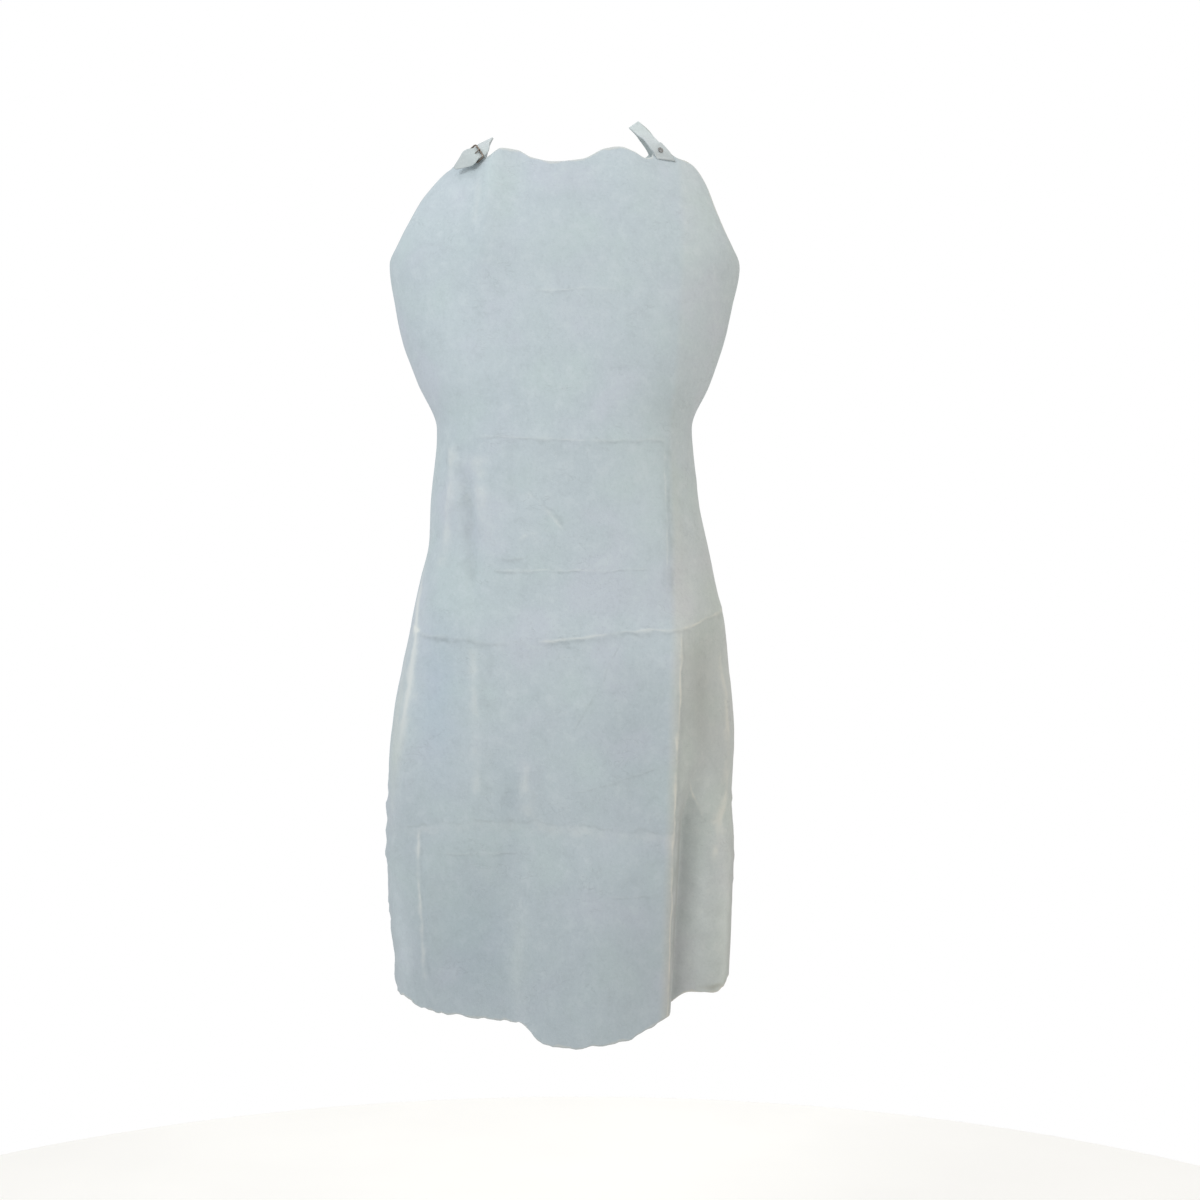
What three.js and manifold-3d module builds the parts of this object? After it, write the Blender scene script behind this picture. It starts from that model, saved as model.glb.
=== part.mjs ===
// Leather work apron in its worn form: a bib, armholes and skirt cut from one hide,
// a buckled neck strap and a strap across the back of the waist.
// Millimetres, +Z up, front faces -Y. The origin is on the inner face of the neck strap,
// behind the neck, where the apron hangs. A "drop" is a distance below the origin.

import * as THREE from 'three';
import { mergeVertices } from 'three/addons/utils/BufferGeometryUtils.js';
import Module from 'manifold-3d';

const wasm = await Module();
wasm.setup();

// ---- driving sizes ---------------------------------------------------------------------

const HIDE = 1.8;              // wall of the apron body
const GAP = 0.3;               // clearance between neighbouring pieces
const MID_Y = -72;             // mid plane between front and back, measured from the origin
const HALF_CUT = 300;          // half the width of the flat hide
const COLUMNS = 38;            // body mesh, across
const ROWS = 42;               // body mesh, top edge to hem
const ROW_CROWD = 1.25;        // rows stand closer together toward the top edge

const STRAP_W = 20;            // neck and waist straps
const STRAP_T = 2;
const TAB_W = 14;              // buckle tab
const TAB_T = 1;
const WIRE_R = 1;              // buckle frame wire
const FRAME_HALF_W = 8.7;      // middle of the frame's side wires
const FRAME_DEPTH = 11;        // heel bar to front bar
const PRONG_R = 0.7;
const RIVET_SHANK_R = 1.7;
const RIVET_HEAD_R = 3.4;
const RIVET_BORE_R = 0.9;
const WAIST_DROP = 310;        // middle of the waist strap
const WAIST_LAP_FROM = 262;    // flat distance from the front middle where its end starts

// ---- tables ----------------------------------------------------------------------------

const table = (columns, rows) =>
  rows.map((row) => Object.fromEntries(columns.map((name, i) => [name, row[i]])));

// Plan section of the worn body at each drop: half widths to either side, depth of the front,
// of the side line and of the back, and how square each front corner is (2 is an ellipse).
const SECTIONS = table(
  ['drop', 'left', 'right', 'front', 'side', 'back', 'squareL', 'squareR'],
  [
    [-17, 150, 150, -60, 22, 48, 2.0, 2.0],
    [3, 160, 160, -68, 20, 55, 2.0, 2.0],
    [58, 183, 183, -89, 14, 71, 2.1, 2.1],
    [122, 199, 199, -104, 8, 82, 2.2, 2.2],
    [168, 193, 190.5, -109, 6, 86, 2.25, 2.25],
    [210, 184, 180.5, -112, 5, 87, 2.3, 2.3],
    [258, 166.5, 164.5, -115, 4, 86, 2.35, 2.35],
    [310, 144.5, 143.5, -118, 3, 83, 2.4, 2.4],
    [390, 151, 151, -119, 2, 84, 2.5, 2.5],
    [481, 162, 169.5, -120, 2, 86, 2.6, 2.7],
    [550, 177, 184, -122, 2, 90, 2.75, 2.9],
    [675, 196.5, 192, -120, 3, 92, 2.75, 3.0],
    [789, 202, 186, -119, 6, 89, 2.6, 2.9],
    [903, 194, 182, -127, 10, 85, 2.3, 2.7],
    [998, 188, 178, -136, 14, 81, 2.15, 2.5],
  ],
);

// Standing folds of the hide: a ridge (push above 0) or a valley (below 0) that runs from one
// drop and place across to another, with its own half width on each side, how keen its crest
// is, and how far it takes to rise and to die out (runout 0: it runs off the hem).
const FOLDS = table(
  ['name', 'from', 'fromX', 'to', 'toX', 'push', 'halfL', 'halfR', 'keen', 'runin', 'runout'],
  [
    ['neck_left', -12, -76, 118, -88, 8, 12, 22, 0.3, 5, 150],
    ['neck_hollow', -12, -44, 70, -52, -4, 20, 26, 0.0, 5, 90],
    ['neck_right', -12, 66, 88, 80, 4, 30, 26, 0.1, 5, 110],
    ['waist_ridge_left', 345, -119, 440, -117, 4, 9, 8, 0.4, 70, 90],
    ['waist_valley_left', 360, -104, 500, -98, -5, 9, 11, 0.3, 100, 110],
    ['waist_crease_right', 330, 106, 500, 108, 1.3, 20, 7, 0.7, 60, 90],
    ['side_left', 552, -158, 740, -176, 4, 22, 13, 0.8, 40, 110],
    ['pleat_right', 548, 125, 998, 106, 11, 60, 13, 0.9, 60, 0],
    ['side_hollow_right', 548, 162, 740, 166, -9, 20, 20, 0.0, 70, 120],
    ['pleat_valley', 716, 146, 998, 128, -30, 14, 19, 0.3, 90, 0],
    ['right_roll', 748, 174, 998, 160, 10, 18, 18, 0.2, 90, 0],
    ['front_roll', 800, 36, 998, 34, 9, 56, 70, 0.2, 170, 0],
    ['left_valley', 800, -70, 998, -62, -15, 62, 26, 0.2, 130, 0],
    ['left_crease', 794, -150, 930, -143, 3.5, 12, 10, 0.9, 20, 70],
  ],
);

// Flat cut of the side edges: half width of the hide at each drop of that edge (armholes, then
// straight).
const ARMHOLES = table(
  ['drop', 'left', 'right'],
  [
    [15, 133, 156],
    [21, 133, 163],
    [28, 143, 169],
    [42, 160, 177.5],
    [58, 177, 183.5],
    [88, 197, 197],
    [108, 213, 212],
    [128, 248, 246],
    [178, 272, 272],
    [238, 290, 290],
    [288, HALF_CUT, HALF_CUT],
  ],
);

// Flat cut of the top edge: two corners that carry the straps, and a shallow waved neckline.
const NECKLINE = table(
  ['across', 'drop'],
  [
    [-133, 21], [-118, 14], [-106, 7], [-95, 10], [-87, 14], [-70, 3.5], [-52, 5.5],
    [-36, 14.5], [-10, 20.5], [20, 17.5], [46, 4.5], [62, 2], [78, 7], [92, 13.5],
    [99, 12], [109, -5], [122, 3], [134, 9], [146, 11], [156, 15],
  ],
);

// Flat cut of the hem, a little wavy like a hide's own edge.
const HEM = table(
  ['across', 'drop'],
  [
    [-300, 946], [-262, 945], [-215, 945], [-160, 953], [-110, 957], [-70, 958.5], [-42, 963],
    [-30, 975], [-12, 983], [25, 982], [62, 977.5], [92, 965], [110, 955], [160, 947],
    [185, 933], [210, 935], [250, 929], [300, 925],
  ],
);

// Free run of the neck strap over the shoulders and round the back of the neck: points of its
// middle line from the mid plane, the direction that its outer face looks, and its width as a share
// of the full width (it is pinched at the buckle, and on the right where it turns over the shoulder).
const STRAP_RUN = table(
  ['name', 'x', 'y', 'drop', 'faceX', 'faceY', 'faceZ', 'share'],
  [
    ['left_front', -90.5, -38, -5.5, -0.45, -0.6, 0.66, 0.8],
    ['left_top', -89.5, -12, -16, -0.42, -0.17, 0.89, 0.92],
    ['left_back', -96, 14, -13, -0.42, 0.4, 0.81, 1],
    ['left_fall', -99, 36, -3, -0.5, 0.65, 0.57, 1],
    ['left_nape', -80, 59, 4, -0.6, 0.76, 0.25, 1],
    ['back_left', -43, 70, 3, -0.3, 0.945, 0.12, 1],
    ['back_middle', 0, 73, 0, 0, 0.99, 0.1, 1],
    ['back_right', 43, 70, 3, 0.3, 0.945, 0.12, 1],
    ['right_nape', 82, 59, 3, 0.6, 0.76, 0.25, 1],
    ['right_fall', 105, 38, -8, 0.5, 0.68, 0.54, 1],
    ['right_back', 91, 14, -28.5, -0.1, 0.42, 0.88, 0.82],
    ['right_top', 78.5, -9, -35.2, -0.55, -0.2, 0.8, 0.66],
    ['right_front', 90, -25, -20.5, 0.16, -0.72, 0.68, 0.82],
  ],
);

// How the neck strap lies on the buckle, measured along it from the heel bar and off the hide,
// with its width there as a share of the full width (pinched through the frame, its tail cut to a
// tongue) and how far its face is turned to the front, in degrees.
const STRAP_AT_BUCKLE = table(
  ['along', 'off', 'share', 'turn'],
  [
    [-23, 8.0, 0.1, 14], [-21.8, 7.8, 0.25, 14], [-19, 7.5, 0.36, 14], [-15, 7.2, 0.53, 13],
    [-11, 7.0, 0.71, 12], [-7.5, 7.1, 0.88, 9], [-4, 7.4, 1, 5],
    [0, 7.6, 0.97, 0], [3, 7.2, 0.85, 0], [5, 6.5, 0.73, 0], [6.5, 5.8, 0.72, 0], [8.5, 4.9, 0.72, 0],
    [11, 4.1, 0.72, 0], [14, 3.8, 0.73, 0],
  ],
);

// Its other end, riveted on the bib: distance along it past the rivet, width as a share of the full
// width, and the slant of the cut.
const STRAP_AT_RIVET = table(
  ['along', 'share', 'slant'],
  [[-15, 0.88, 0], [-8, 0.95, 0], [0, 1, 0], [5, 1, 2.5], [12.7, 1, 6.9]],
);

// ---- small helpers ---------------------------------------------------------------------

const V = (x, y, z) => new THREE.Vector3(x, y, z);
const clamp = (x, a, b) => Math.min(b, Math.max(a, x));
const smooth = (a, b, x) => {
  const t = clamp((x - a) / (b - a), 0, 1);
  return t * t * (3 - 2 * t);
};

// Value of one column along a table: a cubic without overshoot, held flat past both ends.
function along(rows, by, column, x) {
  const n = rows.length;
  const xs = (i) => rows[i][by];
  const ys = (i) => rows[i][column];
  x = clamp(x, xs(0), xs(n - 1));
  let i = 0;
  while (i < n - 2 && x >= xs(i + 1)) i++;
  const rise = (k) => (ys(k + 1) - ys(k)) / (xs(k + 1) - xs(k));
  const slope = (k) => {
    if (k === 0) return rise(0);
    if (k === n - 1) return rise(n - 2);
    const a = rise(k - 1), b = rise(k);
    return a * b <= 0 ? 0 : (2 * a * b) / (a + b);
  };
  const h = xs(i + 1) - xs(i), t = (x - xs(i)) / h;
  return (1 + 2 * t) * (1 - t) ** 2 * ys(i) + t * (1 - t) ** 2 * h * slope(i)
    + t * t * (3 - 2 * t) * ys(i + 1) + t * t * (t - 1) * h * slope(i + 1);
}

function signedVolume(p, idx) {
  let v = 0;
  const a = V(), b = V(), c = V();
  for (let i = 0; i < idx.length; i += 3) {
    a.fromArray(p, idx[i] * 3); b.fromArray(p, idx[i + 1] * 3); c.fromArray(p, idx[i + 2] * 3);
    v += a.dot(b.cross(c)) / 6;
  }
  return v;
}

// Closed surface from corner points and triangles, turned so that its faces look outward.
function closed(points, triangles) {
  const p = points.flatMap((q) => [q.x, q.y, q.z]);
  const idx = triangles.flat();
  if (signedVolume(p, idx) < 0) for (let i = 0; i < idx.length; i += 3) [idx[i], idx[i + 1]] = [idx[i + 1], idx[i]];
  const g = new THREE.BufferGeometry();
  g.setAttribute('position', new THREE.Float32BufferAttribute(p, 3));
  g.setIndex(idx);
  g.computeVertexNormals();
  return g;
}

// Rings of equal length joined one to the next; capped at both ends, or joined into a loop.
function skin(rings, loop = false) {
  const m = rings[0].length, n = rings.length;
  const tris = [];
  for (let i = 0; i < (loop ? n : n - 1); i++) {
    const a = i * m, b = ((i + 1) % n) * m;
    for (let j = 0; j < m; j++) {
      const k = (j + 1) % m;
      tris.push([a + j, b + j, b + k], [a + j, b + k, a + k]);
    }
  }
  if (!loop) {
    for (let j = 1; j < m - 1; j++) {
      tris.push([0, j, j + 1]);
      tris.push([(n - 1) * m, (n - 1) * m + j + 1, (n - 1) * m + j]);
    }
  }
  return closed(rings.flat(), tris);
}

// Flat strip: at each station a middle point, the way its face looks and the way it runs.
function strip(stations, width, thick) {
  return skin(stations.map(({ at, face, run, share = 1, slant = 0 }) => {
    const w = V().crossVectors(run, face).normalize().multiplyScalar((share * width) / 2);
    const n = V().crossVectors(w, run).normalize().multiplyScalar(thick / 2);
    if (n.dot(face) < 0) n.negate();
    w.addScaledVector(run, -slant);
    return [
      at.clone().add(w).add(n), at.clone().sub(w).add(n),
      at.clone().sub(w).sub(n), at.clone().add(w).sub(n),
    ];
  }));
}

function solidOf(geometry) {
  const g = geometry.clone();
  g.deleteAttribute('normal');
  if (g.getAttribute('uv')) g.deleteAttribute('uv');
  const m = mergeVertices(g, 1e-4);
  return new wasm.Manifold(new wasm.Mesh({
    numProp: 3,
    vertProperties: Float32Array.from(m.getAttribute('position').array),
    triVerts: Uint32Array.from(m.getIndex().array),
  }));
}

function cut(geometry, ...tools) {
  let solid = solidOf(geometry);
  for (const tool of tools) solid = solid.subtract(solidOf(tool));
  const m = solid.getMesh();
  const g = new THREE.BufferGeometry();
  g.setAttribute('position', new THREE.Float32BufferAttribute(Float32Array.from(m.vertProperties), 3));
  g.setIndex(Array.from(m.triVerts));
  g.computeVertexNormals();
  return g;
}

// Turn a shape built along its own Z so that its Z looks along `axis` and its X along `side`.
function placed(geometry, origin, side, axis) {
  const z = axis.clone().normalize();
  const y = V().crossVectors(z, side).normalize();
  const x = V().crossVectors(y, z);
  const m = new THREE.Matrix4().makeBasis(x, y, z).setPosition(origin);
  return geometry.applyMatrix4(m);
}

// ---- the worn surface ------------------------------------------------------------------

const HALF_STEPS = 260;

function foldPush(x, drop) {
  let out = 0;
  for (const f of FOLDS) {
    const u = x - (f.fromX + ((f.toX - f.fromX) * (drop - f.from)) / (f.to - f.from));
    const r = Math.abs(u) / (u < 0 ? f.halfL : f.halfR);
    if (r > 12) continue;
    const soft = Math.exp(-r * r);
    const keen = Math.exp(0.13 - 1.3 * Math.sqrt(r * r + 0.01));
    let gate = smooth(f.from - f.runin / 2, f.from + f.runin / 2, drop);
    if (f.runout > 0) gate *= 1 - smooth(f.to - f.runout / 2, f.to + f.runout / 2, drop);
    out += f.push * gate * ((1 - f.keen) * soft + f.keen * keen);
  }
  return out;
}

const sectionCache = new Map();

// Plan curve of the body at one drop, folds included, with the distance s along it from the
// front middle.
function sectionAt(drop) {
  const key = drop.toFixed(4);
  if (sectionCache.has(key)) return sectionCache.get(key);
  const c = (name) => along(SECTIONS, 'drop', name, drop);
  const left = c('left'), right = c('right'), front = c('front'), side = c('side'), back = c('back');
  const sqL = c('squareL'), sqR = c('squareR');
  const xs = [], ys = [], isFront = [];
  for (let i = -HALF_STEPS; i <= HALF_STEPS; i++) {
    const a = (i / HALF_STEPS) * 0.97 * Math.PI;
    const n = a < 0 ? sqL : sqR;
    const sx = Math.sign(Math.sin(a)) * Math.abs(Math.sin(a)) ** (2 / n);
    const cy = Math.abs(Math.cos(a)) ** (2 / n);
    const f = Math.abs(a) <= Math.PI / 2;
    xs.push((a < 0 ? left : right) * sx);
    ys.push(f ? side - (side - front) * cy : side + back * cy);
    isFront.push(f);
  }
  const last = xs.length - 1, x = [], y = [], s = [0];
  for (let i = 0; i <= last; i++) {
    const a = Math.max(0, i - 1), b = Math.min(last, i + 1);
    const tx = xs[b] - xs[a], ty = ys[b] - ys[a], len = Math.hypot(tx, ty) + 1e-9;
    const push = isFront[i] ? foldPush(xs[i], drop) : 0;
    x.push(xs[i] + (ty / len) * push);
    y.push(ys[i] - (tx / len) * push);
    if (i) s.push(s[i - 1] + Math.hypot(x[i] - x[i - 1], y[i] - y[i - 1]));
  }
  const zero = s[HALF_STEPS];
  const out = { x, y, s: s.map((v) => v - zero) };
  sectionCache.set(key, out);
  return out;
}

// Middle of the hide at a flat place: `across` from the front middle, at a drop.
function hide(across, drop) {
  const { x, y, s } = sectionAt(drop);
  let lo = 0, hi = s.length - 1;
  while (hi - lo > 1) {
    const mid = (lo + hi) >> 1;
    if (s[mid] <= across) lo = mid; else hi = mid;
  }
  const t = clamp((across - s[lo]) / (s[hi] - s[lo]), 0, 1);
  return V(x[lo] + (x[hi] - x[lo]) * t, MID_Y + y[lo] + (y[hi] - y[lo]) * t, -drop);
}

function hideNormal(across, drop, d = 4) {
  const u = hide(across + d, drop).sub(hide(across - d, drop));
  const v = hide(across, drop + d).sub(hide(across, drop - d));
  return V().crossVectors(v, u).normalize();
}

// ---- apron body ------------------------------------------------------------------------

function bodyGeometry() {
  const ends = (rows) => ({ left: rows[0], right: rows[rows.length - 1] });
  const neck = ends(NECKLINE), hem = ends(HEM);
  const mid = [];
  for (let i = 0; i <= ROWS; i++) {
    const t = (i / ROWS) ** ROW_CROWD;
    const half = (name) => along(ARMHOLES, 'drop', name, neck[name].drop + (hem[name].drop - neck[name].drop) * t);
    const width = { left: half('left'), right: half('right') };
    const row = [];
    for (let j = 0; j <= COLUMNS; j++) {
      const side = -1 + (2 * j) / COLUMNS, name = side < 0 ? 'left' : 'right';
      const top = along(NECKLINE, 'across', 'drop', side * Math.abs(neck[name].across));
      const foot = along(HEM, 'across', 'drop', side * HALF_CUT);
      row.push(hide(side * width[name], top + (foot - top) * t));
    }
    mid.push(row);
  }
  const points = [];
  for (const face of [0.5, -0.5]) {
    for (let i = 0; i <= ROWS; i++) {
      for (let j = 0; j <= COLUMNS; j++) {
        const u = mid[i][Math.min(COLUMNS, j + 1)].clone().sub(mid[i][Math.max(0, j - 1)]);
        const v = mid[Math.min(ROWS, i + 1)][j].clone().sub(mid[Math.max(0, i - 1)][j]);
        points.push(V().crossVectors(v, u).normalize().multiplyScalar(HIDE * face).add(mid[i][j]));
      }
    }
  }
  const at = (f, i, j) => f * (ROWS + 1) * (COLUMNS + 1) + i * (COLUMNS + 1) + j;
  const tris = [];
  const quad = (a, b, c, d) => tris.push([a, b, c], [a, c, d]);
  for (let i = 0; i < ROWS; i++) {
    for (let j = 0; j < COLUMNS; j++) {
      quad(at(0, i, j), at(0, i + 1, j), at(0, i + 1, j + 1), at(0, i, j + 1));
      quad(at(1, i, j), at(1, i, j + 1), at(1, i + 1, j + 1), at(1, i + 1, j));
    }
  }
  for (let j = 0; j < COLUMNS; j++) {
    quad(at(0, 0, j), at(0, 0, j + 1), at(1, 0, j + 1), at(1, 0, j));
    quad(at(0, ROWS, j), at(1, ROWS, j), at(1, ROWS, j + 1), at(0, ROWS, j + 1));
  }
  for (let i = 0; i < ROWS; i++) {
    quad(at(0, i, 0), at(1, i, 0), at(1, i + 1, 0), at(0, i + 1, 0));
    quad(at(0, i, COLUMNS), at(0, i + 1, COLUMNS), at(1, i + 1, COLUMNS), at(1, i, COLUMNS));
  }
  return closed(points, tris);
}

// How far the hide rises toward a piece laid flat on it, within the piece's outline.
function hideRise(spot, origin, run, face, from, to, halfWidth) {
  const sideways = V().crossVectors(face, run);
  let most = 0;
  for (let u = -26; u <= 26; u += 2) {
    for (let v = -26; v <= 26; v += 2) {
      const p = hide(spot.across + u, spot.drop + v).sub(origin);
      const s = p.dot(run);
      if (s >= from && s <= to && Math.abs(p.dot(sideways)) <= halfWidth) most = Math.max(most, p.dot(face));
    }
  }
  return most;
}

// ---- neck fastening: local frame on the bib's corner (s along the strap, h off the hide) --

const HEEL = { across: -105, drop: 14 };        // foot of the heel bar on the bib's left corner
const HEEL_TURN = 22;                          // degrees that the strap turns the buckle to the front
const HEEL_LIFT = 0.95;                        // and how far it stands clear of the hide by that
const heelPull = V(0.85, 0, 0.53);
const square = (v, face) => v.clone().addScaledVector(face, -v.dot(face)).normalize();
const turned = (face, run, degrees) => {
  const a = (degrees * Math.PI) / 180;
  return face.clone().multiplyScalar(Math.cos(a))
    .addScaledVector(V().crossVectors(face, run).normalize(), -Math.sin(a));
};
const heelHide = hideNormal(HEEL.across, HEEL.drop, 8);
const heelFace = turned(heelHide, square(heelPull, heelHide), HEEL_TURN);
const heelRun = square(heelPull, heelFace);
const heelSide = V().crossVectors(heelFace, heelRun).normalize();
const heelFoot = hide(HEEL.across, HEEL.drop);
const heelAt = heelFoot.clone()
  .addScaledVector(heelFace, HEEL_LIFT + hideRise(HEEL, heelFoot, heelRun, heelFace, -14, 3, 9));
const atHeel = (s, h, w = 0) =>
  heelAt.clone().addScaledVector(heelRun, s).addScaledVector(heelFace, h).addScaledVector(heelSide, w);

const HEEL_H = 3.7;                            // heel bar above the hide's middle
const FRONT_H = 6.4;                           // front bar
const FOLD_R = 2;                              // middle of the tab where it turns round the bar

const RIVET = { across: 109.5, drop: 4 };       // on the bib's right corner
const rivetFace = hideNormal(RIVET.across, RIVET.drop, 8);
const rivetAt = hide(RIVET.across, RIVET.drop);
const rivetRun = V(0.63, 0, -0.78).addScaledVector(rivetFace, -V(0.63, 0, -0.78).dot(rivetFace)).normalize();
const atRivet = (s, h) => rivetAt.clone().addScaledVector(rivetRun, s).addScaledVector(rivetFace, h);

const STRAP_H = HIDE / 2 + 2 * GAP + STRAP_T / 2 + hideRise(RIVET, rivetAt, rivetRun, rivetFace, -9, 20, 11);

// Middle line of the neck strap, tail first.
const strapPoints = [
  ...STRAP_AT_BUCKLE.map((r) => ({
    at: atHeel(r.along, r.off), face: turned(heelFace, heelRun, r.turn), share: r.share, slant: 0,
  })),
  ...STRAP_RUN.map((r) => ({
    at: V(r.x, MID_Y + r.y, -r.drop), face: V(r.faceX, r.faceY, r.faceZ).normalize(), share: r.share, slant: 0,
  })),
  ...STRAP_AT_RIVET.map((r) => ({ at: atRivet(r.along, STRAP_H), face: rivetFace, share: r.share, slant: r.slant })),
];

function strapStations(points, perSpan) {
  const line = new THREE.CatmullRomCurve3(points.map((p) => p.at), false, 'centripetal');
  const out = [];
  const spans = points.length - 1;
  for (let i = 0; i < spans; i++) {
    const long = points[i].at.distanceTo(points[i + 1].at);
    const steps = Math.max(1, Math.round((perSpan * long) / 30));
    for (let k = 0; k < steps || (i === spans - 1 && k === steps); k++) {
      const f = k / steps, t = (i + f) / spans;
      out.push({
        at: line.getPoint(t),
        face: points[i].face.clone().lerp(points[i + 1].face, f).normalize(),
        run: line.getTangent(t),
        share: points[i].share + (points[i + 1].share - points[i].share) * f,
        slant: points[i].slant + (points[i + 1].slant - points[i].slant) * f,
      });
    }
  }
  return out;
}

function tubeAlong(points, radius, steps, sides = 8) {
  const ring = new THREE.Shape();
  for (let i = 0; i < sides; i++) {
    const a = (2 * Math.PI * i) / sides;
    if (i) ring.lineTo(radius * Math.cos(a), radius * Math.sin(a));
    else ring.moveTo(radius, 0);
  }
  ring.closePath();
  return new THREE.ExtrudeGeometry(ring, {
    steps, bevelEnabled: false, extrudePath: new THREE.CatmullRomCurve3(points, false, 'centripetal'),
  });
}

// Punched slot in the strap for the prong, round-ended, through the strap's thickness.
function prongSlot() {
  const half = 3.2, r = 1.3;
  const shape = new THREE.Shape();
  shape.absarc(half, 0, r, -Math.PI / 2, Math.PI / 2, false);
  shape.absarc(-half, 0, r, Math.PI / 2, (3 * Math.PI) / 2, false);
  const g = new THREE.ExtrudeGeometry(shape, { depth: 14, bevelEnabled: false, curveSegments: 5 });
  return placed(g, atHeel(3.4, 0), heelRun, heelFace);
}

function rivetHole(radius) {
  const g = new THREE.CylinderGeometry(radius, radius, 16, 16).rotateX(Math.PI / 2);
  return placed(g, rivetAt, rivetRun, rivetFace);
}

// Hollow rivet: a rolled head in front, a shank through strap and hide, a rolled foot behind.
function rivetGeometry() {
  const top = STRAP_H + STRAP_T / 2 + GAP, under = -HIDE / 2 - 2 * GAP;
  const profile = [
    [RIVET_BORE_R, under - 0.5], [RIVET_SHANK_R + 0.9, under - 0.7], [RIVET_SHANK_R + 1.2, under],
    [RIVET_SHANK_R, under], [RIVET_SHANK_R, top], [RIVET_HEAD_R, top], [RIVET_HEAD_R - 0.3, top + 0.5],
    [RIVET_HEAD_R - 1.1, top + 0.8], [RIVET_BORE_R + 0.4, top + 0.6], [RIVET_BORE_R, top],
    [RIVET_BORE_R, under - 0.5],
  ].map(([r, y]) => new THREE.Vector2(r, y));
  return placed(new THREE.LatheGeometry(profile, 20).rotateX(Math.PI / 2), rivetAt, rivetRun, rivetFace);
}

// Wire frame of the buckle: a round-cornered loop through the heel bar and the front bar.
function frameGeometry() {
  const corner = 2.4, turn = 4, sides = 8;
  const tilt = Math.atan2(FRONT_H - HEEL_H, FRAME_DEPTH);
  const long = Math.hypot(FRAME_DEPTH, FRONT_H - HEEL_H);
  const path = [];
  for (const [cs, cw, from] of [
    [long - corner, FRAME_HALF_W - corner, 0], [corner, FRAME_HALF_W - corner, 1],
    [corner, -FRAME_HALF_W + corner, 2], [long - corner, -FRAME_HALF_W + corner, 3],
  ]) {
    for (let k = 0; k <= turn; k++) {
      const a = ((from + k / turn) * Math.PI) / 2;
      path.push({ s: cs + corner * Math.cos(a), w: cw + corner * Math.sin(a), a });
    }
  }
  const up = V().copy(heelFace).multiplyScalar(Math.cos(tilt)).addScaledVector(heelRun, -Math.sin(tilt));
  return skin(path.map(({ s, w, a }) => {
    const centre = atHeel(s * Math.cos(tilt), HEEL_H + s * Math.sin(tilt), w);
    const out = atHeel(Math.cos(tilt) * Math.cos(a), Math.sin(tilt) * Math.cos(a), Math.sin(a)).sub(heelAt);
    return Array.from({ length: sides }, (_, i) => {
      const b = (2 * Math.PI * (i + 0.5)) / sides;
      return centre.clone().addScaledVector(out, WIRE_R * Math.cos(b)).addScaledVector(up, WIRE_R * Math.sin(b));
    });
  }), true);
}

// Prong: curled behind the heel bar, up through the strap's slot, its tip on the front bar.
function prongGeometry() {
  const curl = WIRE_R + 0.25 + PRONG_R;
  const pts = [-150, -180, -215, -245].map((deg) => {
    const a = (deg * Math.PI) / 180;
    return atHeel(curl * Math.cos(a), HEEL_H + curl * Math.sin(a));
  });
  for (const [s, h] of [[0.6, HEEL_H + curl + 0.05], [3, 6.1], [6, 7.3], [9, 8.3], [FRAME_DEPTH, 8.5], [FRAME_DEPTH + 1.8, 8.3]]) {
    pts.push(atHeel(s, h));
  }
  return tubeAlong(pts, PRONG_R, 22);
}

// Tab: sewn on the bib's corner, turned round the heel bar and back on itself.
function tabGeometry() {
  const low = HIDE / 2 + GAP + 0.2 + TAB_T / 2, high = low + TAB_T + GAP;
  const path = [[-9.5, low], [-6, low], [-3, low]];
  for (let k = 0; k <= 8; k++) {
    const a = -Math.PI / 2 + (Math.PI * k) / 8;
    path.push([FOLD_R * Math.cos(a), HEEL_H + FOLD_R * Math.sin(a)]);
  }
  path.push([-2.6, HEEL_H + 1.2], [-5.2, high + 0.25], [-7, high], [-9, high]);
  const at = path.map(([s, h]) => atHeel(s, h));
  const stations = at.map((p, i) => ({
    at: p,
    run: at[Math.min(at.length - 1, i + 1)].clone().sub(at[Math.max(0, i - 1)]).normalize(),
    face: heelFace,
  }));
  // the face turns with the fold: always across the run, in the strap's plane
  for (const st of stations) st.face = V().crossVectors(st.run, heelSide).normalize();
  const slot = new THREE.BoxGeometry(7.2, 2 * (PRONG_R + 0.5), 8);
  return cut(strip(stations, TAB_W, TAB_T), placed(slot, atHeel(-0.2, HEEL_H + 0.8), heelRun, heelFace));
}

// ---- waist strap: laid on the outer face of both side edges, plain across the back --------

function waistStations() {
  const { x, y, s } = sectionAt(WAIST_DROP);
  const off = HIDE / 2 + GAP + STRAP_T / 2 + 0.4;
  const side = [];
  for (const sign of [-1, 1]) {
    const part = [];
    const end = sign < 0 ? -s[0] : s[s.length - 1];
    const n = 11;
    for (let k = 0; k <= n; k++) {
      const d = WAIST_LAP_FROM + ((end - 6 - WAIST_LAP_FROM) * k) / n;
      const p = hide(sign * d, WAIST_DROP);
      const q = hide(sign * (d + 2), WAIST_DROP), r = hide(sign * (d - 2), WAIST_DROP);
      const run = q.sub(r).normalize();
      const face = V().crossVectors(run, V(0, 0, -sign)).normalize();
      part.push({ at: p.addScaledVector(face, off), face, run: run.multiplyScalar(-sign) });
    }
    side.push(part);
  }
  // left end first, round the back, to the right end
  return [...side[0], ...side[1].reverse()].map((st, i, all) => ({
    ...st,
    run: all[Math.min(all.length - 1, i + 1)].at.clone().sub(all[Math.max(0, i - 1)].at).normalize(),
  }));
}

// ---- assembly --------------------------------------------------------------------------

const suede = (colour) => new THREE.MeshStandardMaterial({ color: colour, roughness: 0.95, metalness: 0 });
const steel = (colour) => new THREE.MeshStandardMaterial({ color: colour, roughness: 0.4, metalness: 1 });

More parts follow.
